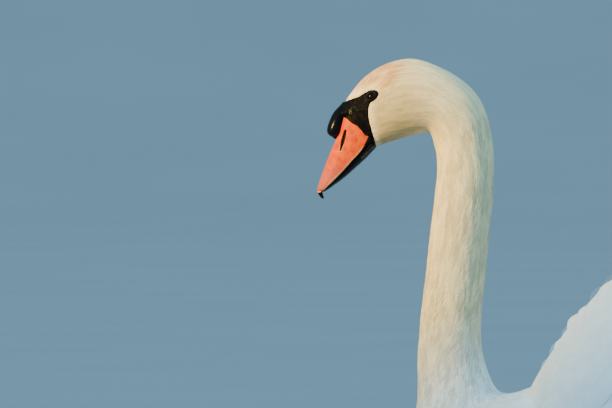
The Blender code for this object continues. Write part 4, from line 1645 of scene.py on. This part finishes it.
def make_wing_coverts(settings):
    """Small feathers over the front and the lower part of each wing, outside and inside."""
    vane = new_vane("covert", CONTOUR_OUTLINE, 4, settings.camber * 0.6, settings.slope)
    covering = plumage("covert_feathers", 0.0012, 0.0004, 0.08, 0.0, settings)
    along, across = margin_grid(0.0, 1.0, 0.008, 0.05), margin_grid(0.0, 1.0, 0.012, 0.05)
    a, u = np.broadcast_arrays(along[:, None], across[None, :])
    big = smooth(0.0, 0.7, u) * 0.5 + smooth(0.0, 0.5, a) * 0.5
    big = big - 0.7 * smooth(0.12, 0.0, a)
    big = big - 0.9 * smooth(0.6, 0.95, a)
    size = (np.array(COVERT_LEAST) + np.array(COVERT_MORE) * big[..., None]) * MM
    on_wing = smooth(0.005, 0.02, u) * (u < np.interp(a, *COVERTS_TOP)) * (a > 0.01) * (a < 0.93)
    for side, _ in SIDES:
        for name, sheet in zip(("coverts_", "under_coverts_"), WINGS[side]):
            lie, _ = wing_lie(sheet, a, u)
            tip_a, tip_u = places_moved(sheet, a, u, lie * 0.8 * size[..., :1])
            rim = 0.3 * size[..., 1] / np.linalg.norm(sheet.read(a, u)[3], axis=-1) * smooth(0.5, 0.7, a)
            growth = on_wing * (tip_u > 0.03 + rim) * (tip_u < 1) * (tip_a < 1)
            sunk = size[..., 2] * settings.bed_depth
            bed = lay_bed(name + side, sheet, along, across, sunk, lie, size, growth)
            grow(name + side, bed, vane, covering, settings.covert_spacing, 31, settings)
    remove(vane)


def edge_tips(first, last, step, height):
    """Places of feather tips along the wing, at a height given at its two ends."""
    along = np.arange(first, last + step / 2, step)
    return np.stack([along, np.interp(along, (first, last), height)], axis=-1)


def make_flight_feathers(settings):
    """Rows of long feathers on each wing: primaries, secondaries with the rows of coverts over them."""
    covering = plumage("flight_feathers", 0.0011, 0.0005, 0.07, 0.0, bpy.context.scene.swan_plumage)
    # Each row: name, tips, length, width, lift in millimetres, where the round tip begins, narrowing.
    rows = (
        ("primaries", PRIMARY_TIPS, np.linspace(0.10, 0.20, 5), 0.03, (-3.0, -2.2, -1.6), 0.7, 0.5),
        ("secondaries", edge_tips(7.5 / 22, 21.5 / 22, 1 / 22, (1.0, 1.0)),
         0.2, settings.secondary_width, (-2.5, -1.4, 0.2), 0.86, 0.0),
        ("greater_coverts", edge_tips(0.30, 0.955, 0.034, (0.80, 0.72)),
         0.12, 0.036, (-1.2, 0.2, 1.4), 0.82, 0.0),
        ("marginal_coverts", edge_tips(0.02, 0.37, 0.0080, (1.0, 1.0)),
         0.045, 0.023, (-1.0, 0.2, 0.8), 0.8, 0.0),
        ("median_coverts", edge_tips(0.28, 0.93, 0.028, (0.66, 0.56)),
         0.085, 0.030, (-0.8, 1.2, 2.2), 0.8, 0.0),
    )  # fmt: skip
    for side, _ in SIDES:
        for number, (name, tips, length, width, lift, *shape) in enumerate(rows):
            given = (np.array(tips), length, width, np.array(lift) * MM, settings, 41 + number)
            finish(quills(f"{name}_{side}", WINGS[side][0], *given, *shape), covering, "plumage")


def make_tail(settings):
    """A wedge of stiff feathers fanned from the root of the tail, the middle ones on top."""
    covering = plumage("tail_quills", 0.0011, 0.0005, 0.07, 0.0, bpy.context.scene.swan_plumage)
    low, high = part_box("tail")
    end_x, end_y = high.x + 4 * MM, high.y * 1.1
    x = np.linspace(low.x, end_x, 60)[:, None]
    y = np.linspace(-1, 1, 41)[None, :]
    dome = np.interp(x, *TAIL_RIDGE) - TAIL_FALL * y**2
    fan = Sheet(np.stack(np.broadcast_arrays(x, y * end_y, dome), axis=-1), 1)
    span = np.linspace(-1, 1, settings.tail_count)
    share = shares_along(0.85, 18, 9)
    side = np.linspace(-1, 1, 9)
    root_x, tip_x = low.x - TAIL_ROOT_IN, high.x - TAIL_SWEEP * np.abs(span) ** 1.6
    tip_y = high.y * 0.93 * span
    root_y = tip_y * TAIL_ROOT_SPREAD
    line_x = root_x + (tip_x[:, None] - root_x) * share
    line_y = root_y[:, None] + (tip_y - root_y)[:, None] * share
    way = unit(np.stack([tip_x - root_x, tip_y - root_y], axis=-1))
    half = TAIL_QUILL_WIDTH / 2 * quill_shape(share, 0.72)[None, :]
    offset = half[..., None] * side
    a = (line_x[..., None] - way[:, 1][:, None, None] * offset - low.x) / (end_x - low.x)
    b = ((line_y[..., None] + way[:, 0][:, None, None] * offset) / end_y + 1) / 2
    points, out, _, _ = fan.read(a, b)
    layer = (1 - np.abs(span)) * TAIL_LAYER
    rise = layer[:, None, None] * (0.4 + 0.6 * (1 - share))[None, :, None] + 0.6 * MM * (1 - side**2)
    length = np.hypot(tip_x - root_x, tip_y - root_y)
    path = (a[..., len(side) // 2], b[..., len(side) // 2])
    top = points + out * rise[..., None]
    draw = np.random.default_rng(61)
    tail = quill_mesh("tail_feathers", top, out, settings.thick, path, share, side, half, length, draw)
    finish(tail, covering, "plumage")


# ---------------------------------------------------------------- stage


def aim(thing, target):
    thing.rotation_mode = "QUATERNION"
    thing.rotation_quaternion = (Vector(target) - thing.location).to_track_quat("-Z", "Y")


def from_direction(target, azimuth, elevation, distance):
    """A place at a distance from target: azimuth 0 is the bird's left side, and a quarter turn its tail."""
    away = Vector(
        (
            math.sin(azimuth) * math.cos(elevation),
            -math.cos(azimuth) * math.cos(elevation),
            math.sin(elevation),
        )
    )
    return Vector(target) + away * distance


def new_light(name, kind, place, target, power, colour, **shape):
    lamp = bpy.data.lights.new(name, kind)
    for setting, value in shape.items():
        setattr(lamp, setting, value)
    lamp.energy = power
    lamp.color = colour
    made = bpy.data.objects.new(name, lamp)
    made.location = place
    aim(made, target)
    made.visible_camera = False
    bpy.context.scene.collection.objects.link(made)
    return made


def make_floor(settings):
    """A round floor whose outer half curves up."""
    turn = np.linspace(0, 2 * np.pi, 129)[None, :-1]
    reach = np.concatenate([[0.001], np.linspace(0.5, 1, 41)])[:, None]
    points = np.stack(np.broadcast_arrays(reach * np.cos(turn), reach * np.sin(turn), 0 * turn), axis=-1)
    points = points * settings.floor_radius
    points[..., 2] = settings.floor_rise * smooth(0.5, 1, reach)
    columns, rows = len(reach), turn.shape[1]
    quads = wrapped_quads(columns, rows, columns - 1, turned=True).tolist()
    floor = new_mesh_object("floor", points, [*quads, list(range(rows))[::-1]])
    made, tree, shader = new_material("floor_paint", Roughness=0.9, Specular_IOR_Level=0.1)
    shade = eased(tree, cloud(tree, object_place(tree), 1.5, 4.0), 0.3, 0.7, 0.97, 1.0)
    connect(tree, shader, Base_Color=shaded(tree, (*settings.floor_colour, 1), shade))
    floor.data.materials.append(made)


def make_stage(settings):
    make_floor(settings)
    world = bpy.data.worlds.new("studio")
    world.use_nodes = True
    sky = world.node_tree.nodes["Background"]
    sky.inputs["Color"].default_value = (*settings.sky_colour, 1)
    sky.inputs["Strength"].default_value = settings.sky_strength
    bpy.context.scene.world = world
    target, distance = settings.key_aim, settings.key_distance
    key = from_direction(target, settings.key_azimuth, settings.key_elevation, distance)
    cone = {"spot_size": settings.key_cone, "spot_blend": 1.0, "shadow_soft_size": settings.key_size / 2}
    new_light("key", "SPOT", key, target, settings.key_power, settings.key_colour, **cone)
    fill = from_direction(FILL_AIM, settings.fill_azimuth, settings.fill_elevation, FILL_DISTANCE)
    disc = {"shape": "DISK", "size": FILL_SIZE}
    new_light("fill", "AREA", fill, FILL_AIM, settings.fill_power, settings.fill_colour, **disc)
    camera = bpy.data.cameras.new("camera")
    camera.sensor_width = 36
    target, distance = settings.aim, settings.camera_distance
    camera.lens = camera.sensor_width * distance / settings.view_width
    camera.clip_end = distance + settings.floor_radius * 2
    shown = bpy.data.objects.new("camera", camera)
    shown.location = from_direction(target, settings.camera_azimuth, settings.camera_elevation, distance)
    aim(shown, target)
    bpy.context.scene.collection.objects.link(shown)
    bpy.context.scene.camera = shown


# ---------------------------------------------------------------- settings


def length_property(name, description, default):
    return bpy.props.FloatProperty(
        name=name, description=description, default=default, subtype="DISTANCE", unit="LENGTH"
    )


def angle_property(name, description, degrees):
    return bpy.props.FloatProperty(
        name=name, description=description, default=math.radians(degrees), subtype="ANGLE", unit="ROTATION"
    )


def number_property(name, description, default):
    return bpy.props.FloatProperty(name=name, description=description, default=default)


def place_property(name, description, default):
    return bpy.props.FloatVectorProperty(
        name=name, description=description, default=default, size=3, subtype="TRANSLATION", unit="LENGTH"
    )


def colour_property(name, description, default):
    return bpy.props.FloatVectorProperty(
        name=name, description=description, default=default, size=3, min=0, max=1, subtype="COLOR"
    )


class StageSettings(bpy.types.PropertyGroup):
    floor_radius: length_property("Floor radius", "Reach of the round floor", 60.0)
    floor_rise: length_property("Floor rise", "Height of the floor's rim", 18.0)
    floor_colour: colour_property("Floor colour", "Plain pale floor", (0.44, 0.41, 0.38))
    sky_colour: colour_property("Sky colour", "Colour of the light from all round", (0.30, 0.65, 1.0))
    sky_strength: number_property("Sky strength", "Strength of the light from all round", 1.27)
    key_azimuth: angle_property("Key azimuth", "Side that the warm light comes from", -55)
    key_elevation: angle_property("Key elevation", "Height that the warm light comes from", 16)
    key_distance: length_property("Key distance", "From the warm light to the bird", 3.2)
    key_size: length_property("Key size", "Width of the warm light", 0.4)
    key_cone: angle_property("Key cone", "Width of the warm light's beam", 12.8)
    key_aim: place_property("Key aim", "Middle of the warm light's beam", (-0.375, 0.069, 0.52))
    key_power: number_property("Key power", "Power of the warm light in watts", 1700.0)
    key_colour: colour_property("Key colour", "Colour of the warm light", (1.0, 0.70, 0.14))
    fill_azimuth: angle_property("Fill azimuth", "Side that the cool light comes from", 5)
    fill_elevation: angle_property("Fill elevation", "Height that the cool light comes from", 58)
    fill_power: number_property("Fill power", "Power of the cool light in watts", 100.0)
    fill_colour: colour_property("Fill colour", "Colour of the cool light", (0.36, 0.78, 1.0))
    aim: place_property("Aim", "Point that the camera looks at", (-0.4288, 0, 0.4413))
    view_width: length_property("View width", "Width of the view where the bird is", 0.661)
    camera_distance: length_property("Camera distance", "From the camera to its aim", 12.0)
    camera_azimuth: angle_property("Camera azimuth", "Turn of the camera towards the tail", 2)
    camera_elevation: angle_property("Camera elevation", "Height of the camera over its aim", 0.7)


class PlumageSettings(bpy.types.PropertyGroup):
    # the feathers' own white, with a slight blue tint that is painted cool shade
    white: colour_property("White", "Feathers of body and wings", (0.75, 0.80, 0.83))
    cream: colour_property("Cream", "Feathers of the neck", (0.95, 0.71, 0.38))
    sheen: number_property("Sheen", "Strength of the soft shine on feathers", 0.15)
    patch: number_property("Patch", "Width of a feather's patch on the coat's unwrap", 0.003)
    stray: angle_property("Stray", "Most that a feather turns from the lie", 12)
    size_change: number_property("Size change", "Share by which feathers differ in size", 0.15)
    head_spacing: length_property("Head spacing", "Least distance of feather roots on the head", 0.00128)
    neck_spacing: length_property("Neck spacing", "Least distance of feather roots on the neck", 0.00195)
    breast_spacing: length_property("Breast spacing", "Least distance of feather roots on the breast", 0.0052)
    body_spacing: length_property("Body spacing", "Least distance of feather roots on the trunk", 0.0088)
    covert_spacing: length_property("Covert spacing", "Least distance of feather roots on the wings", 0.0078)
    camber: number_property("Camber", "Fall to a feather's edges, as a share of the coat's depth", 0.24)
    slope: number_property("Slope", "Rise of a feather's outer part, as a share of the coat's depth", 0.22)
    bed_depth: number_property("Bed depth", "Depth that feathers rise from, as a share of the coat's", 0.85)
    head_furrow: length_property("Head furrow", "Height of the waves in the head's down", 0.0003)
    neck_furrow: length_property("Neck furrow", "Height of the waves in the neck's down", 0.0006)
    furrow_width: length_property("Furrow width", "Distance between waves across the neck", 0.0028)
    furrow_length: length_property("Furrow length", "Length of the waves along the neck", 0.016)


class FlightSettings(bpy.types.PropertyGroup):
    thick: length_property("Thickness", "Thickness of a long feather at its shaft", 0.0007)
    camber: length_property("Camber", "Rise of a long feather's middle over its edges", 0.0012)
    shaft: length_property("Shaft", "Height of the shaft's ridge", 0.0006)
    secondary_width: length_property("Secondary width", "Width of the secondary feathers", 0.046)
    tail_count: bpy.props.IntProperty(name="Tail feathers", description="Number of tail feathers", default=23)


class SkinSettings(bpy.types.PropertyGroup):
    sink: number_property("Sink", "Depth of the skin as a share of the coat's depth", 0.92)
    wing_sink: length_property("Wing sink", "Depth of the wing's arm under the outer feathers", 0.0024)
    wing_core: length_property("Wing core", "Least thickness of the wing's arm", 0.001)


class FaceSettings(bpy.types.PropertyGroup):
    colour: colour_property("Face colour", "Bare skin between eye and bill", (0.0028, 0.0030, 0.0052))
    brown: colour_property("Brown", "Warmer patches of the bare skin", (0.010, 0.0062, 0.0070))
    proud: length_property("Proud", "Height of the bare skin over the first feathers", 0.0005)
    relief: length_property("Relief", "Height of the lumps in the bare skin", 0.0003)
    lump: length_property("Lump", "Width of the lumps in the bare skin", 0.003)
    grain: length_property("Grain", "Width of the skin's grains", 0.0013)
    knob_relief: length_property("Knob relief", "Height of the knob's lumps", 0.0003)
    voxel: length_property("Voxel", "Finest step of the melted body of face and knob", 0.00045)


class BillSettings(bpy.types.PropertyGroup):
    orange: colour_property("Orange", "Main colour of the bill", (0.52, 0.041, 0.0003))
    amber: colour_property("Amber", "Lighter patches in the orange", (0.70, 0.078, 0.0005))
    pink: colour_property("Pink", "Colour towards the bill's tip", (0.42, 0.10, 0.085))
    black: colour_property("Black", "Edge, base and underside of the bill", (0.0045, 0.0045, 0.005))
    gape: colour_property("Gape", "Line along the gape", (0.20, 0.07, 0.04))
    # painted highlight along the orange field's lower edge
    lip_highlight_colour: colour_property("Lip colour", "Pale line along the orange's lower edge", (0.95, 0.46, 0.20))
    orange_rise: length_property("Orange rise", "Height of the orange field over the black", 0.0003)
    lip: length_property("Lip", "Height of the ridge along the orange field's lower edge", 0.0003)
    nostril: length_property("Nostril", "Half the width of a nostril", 0.0024)
    nostril_depth: length_property("Nostril depth", "Depth of a nostril", 0.0026)


class EyeSettings(bpy.types.PropertyGroup):
    iris: colour_property("Iris", "Dark brown of the iris", (0.007, 0.004, 0.005))
    lid_colour: colour_property("Lid colour", "Bare skin of the eyelids", (0.004, 0.004, 0.0045))
    opening_length: length_property("Opening length", "Length of the opening between the lids", 0.0096)
    opening_height: length_property("Opening height", "Height of the opening between the lids", 0.0066)
    bulge: number_property("Bulge", "How round the eye is from the side, as a share of a full ball", 0.56)
    lid_thick: length_property("Lid thickness", "How far the lids stand over the eye", 0.0005)


class FootSettings(bpy.types.PropertyGroup):
    grey: colour_property("Grey", "Skin of feet and legs", (0.035, 0.035, 0.034))
    brown: colour_property("Brown", "Warmer patches of that skin", (0.055, 0.048, 0.040))
    dust: colour_property("Dust", "Pale dust between the scales", (0.16, 0.15, 0.13))
    claw: length_property("Claw", "Length of a claw", 0.007)


# ---------------------------------------------------------------- operators


class SWAN_OT_stage(bpy.types.Operator):
    """Make the floor, the lights and the camera"""

    bl_idname = "swan.stage"
    bl_label = "Stage"

    def execute(self, context):
        make_stage(context.scene.swan_stage)
        return {"FINISHED"}


class SWAN_OT_skin(bpy.types.Operator):
    """Make the one skin of head, neck, trunk and wings"""

    bl_idname = "swan.skin"
    bl_label = "Skin"

    def execute(self, context):
        make_skin(context.scene.swan_skin)
        return {"FINISHED"}


class SWAN_OT_bare_face(bpy.types.Operator):
    """Make the black skin before the eyes and the knob it runs into"""

    bl_idname = "swan.bare_face"
    bl_label = "Bare Face"

    def execute(self, context):
        make_bare_face(context.scene.swan_face)
        return {"FINISHED"}


class SWAN_OT_upper_bill(bpy.types.Operator):
    """Make the orange upper bill with its nostrils"""

    bl_idname = "swan.upper_bill"
    bl_label = "Upper Bill"

    def execute(self, context):
        make_upper_bill(context.scene.swan_bill)
        return {"FINISHED"}


class SWAN_OT_lower_bill(bpy.types.Operator):
    """Make the black lower bill"""

    bl_idname = "swan.lower_bill"
    bl_label = "Lower Bill"

    def execute(self, context):
        make_lower_bill(context.scene.swan_bill)
        return {"FINISHED"}


class SWAN_OT_nail(bpy.types.Operator):
    """Make the horny nail at the bill's tip"""

    bl_idname = "swan.nail"
    bl_label = "Nail"

    def execute(self, context):
        make_nail(context.scene.swan_bill)
        return {"FINISHED"}


class SWAN_OT_eyes(bpy.types.Operator):
    """Make both eyes"""

    bl_idname = "swan.eyes"
    bl_label = "Eyes"

    def execute(self, context):
        make_eyes(context.scene.swan_eyes)
        return {"FINISHED"}


class SWAN_OT_eyelids(bpy.types.Operator):
    """Make the rims round both eyes"""

    bl_idname = "swan.eyelids"
    bl_label = "Eyelids"

    def execute(self, context):
        make_eyelids(context.scene.swan_eyes)
        return {"FINISHED"}


class SWAN_OT_feet(bpy.types.Operator):
    """Make the webs, shanks and claws of both feet"""

    bl_idname = "swan.feet"
    bl_label = "Feet"

    def execute(self, context):
        make_feet(context.scene.swan_feet)
        return {"FINISHED"}


class SWAN_OT_head_coat(bpy.types.Operator):
    """Grow the short down of the head"""

    bl_idname = "swan.head_coat"
    bl_label = "Head Coat"

    def execute(self, context):
        make_head_coat(context.scene.swan_plumage)
        return {"FINISHED"}


class SWAN_OT_neck_coat(bpy.types.Operator):
    """Grow the soft furrowed feathers of the neck"""

    bl_idname = "swan.neck_coat"
    bl_label = "Neck Coat"

    def execute(self, context):
        make_neck_coat(context.scene.swan_plumage)
        return {"FINISHED"}


class SWAN_OT_body_coat(bpy.types.Operator):
    """Grow the feathers of breast, trunk and rump"""

    bl_idname = "swan.body_coat"
    bl_label = "Body Coat"

    def execute(self, context):
        make_body_coat(context.scene.swan_plumage)
        return {"FINISHED"}


class SWAN_OT_wing_coverts(bpy.types.Operator):
    """Grow the small feathers of both wings"""

    bl_idname = "swan.wing_coverts"
    bl_label = "Wing Coverts"

    def execute(self, context):
        make_wing_coverts(context.scene.swan_plumage)
        return {"FINISHED"}


class SWAN_OT_flight_feathers(bpy.types.Operator):
    """Lay the long feathers of both wings"""

    bl_idname = "swan.flight_feathers"
    bl_label = "Flight Feathers"

    def execute(self, context):
        make_flight_feathers(context.scene.swan_flight)
        return {"FINISHED"}


class SWAN_OT_tail(bpy.types.Operator):
    """Fan out the tail feathers"""

    bl_idname = "swan.tail"
    bl_label = "Tail"

    def execute(self, context):
        make_tail(context.scene.swan_flight)
        return {"FINISHED"}


class SWAN_PT_panel(bpy.types.Panel):
    """Every size and colour of the swan, and a button for each piece"""

    bl_idname = "SWAN_PT_panel"
    bl_label = "Mute Swan"
    bl_space_type = "VIEW_3D"
    bl_region_type = "UI"
    bl_category = "Swan"

    def draw(self, context):
        for label, group in SETTINGS:
            box = self.layout.box()
            box.label(text=label)
            settings = getattr(context.scene, group[0])
            for name in group[1].__annotations__:
                box.prop(settings, name)
        for operator in OPERATORS:
            self.layout.operator(operator.bl_idname)


SETTINGS = (
    ("Stage", ("swan_stage", StageSettings)),
    ("Skin", ("swan_skin", SkinSettings)),
    ("Bare face", ("swan_face", FaceSettings)),
    ("Bill", ("swan_bill", BillSettings)),
    ("Eyes", ("swan_eyes", EyeSettings)),
    ("Feet", ("swan_feet", FootSettings)),
    ("Plumage", ("swan_plumage", PlumageSettings)),
    ("Long feathers", ("swan_flight", FlightSettings)),
)
OPERATORS = (
    SWAN_OT_stage,
    SWAN_OT_skin,
    SWAN_OT_bare_face,
    SWAN_OT_upper_bill,
    SWAN_OT_lower_bill,
    SWAN_OT_nail,
    SWAN_OT_eyes,
    SWAN_OT_eyelids,
    SWAN_OT_feet,
    SWAN_OT_head_coat,
    SWAN_OT_neck_coat,
    SWAN_OT_body_coat,
    SWAN_OT_wing_coverts,
    SWAN_OT_flight_feathers,
    SWAN_OT_tail,
)


def register():
    for _, (name, group) in SETTINGS:
        bpy.utils.register_class(group)
        setattr(bpy.types.Scene, name, bpy.props.PointerProperty(type=group))
    for operator in OPERATORS:
        bpy.utils.register_class(operator)
    bpy.utils.register_class(SWAN_PT_panel)


def unregister():
    bpy.utils.unregister_class(SWAN_PT_panel)
    for operator in reversed(OPERATORS):
        bpy.utils.unregister_class(operator)
    for _, (name, group) in reversed(SETTINGS):
        delattr(bpy.types.Scene, name)
        bpy.utils.unregister_class(group)


def main():
    register()
    for operator in OPERATORS:
        started = time.time()
        category, name = operator.bl_idname.split(".")
        getattr(getattr(bpy.ops, category), name)()
        print(f"{operator.bl_label}: {time.time() - started:.1f} s")


if __name__ == "__main__":
    main()
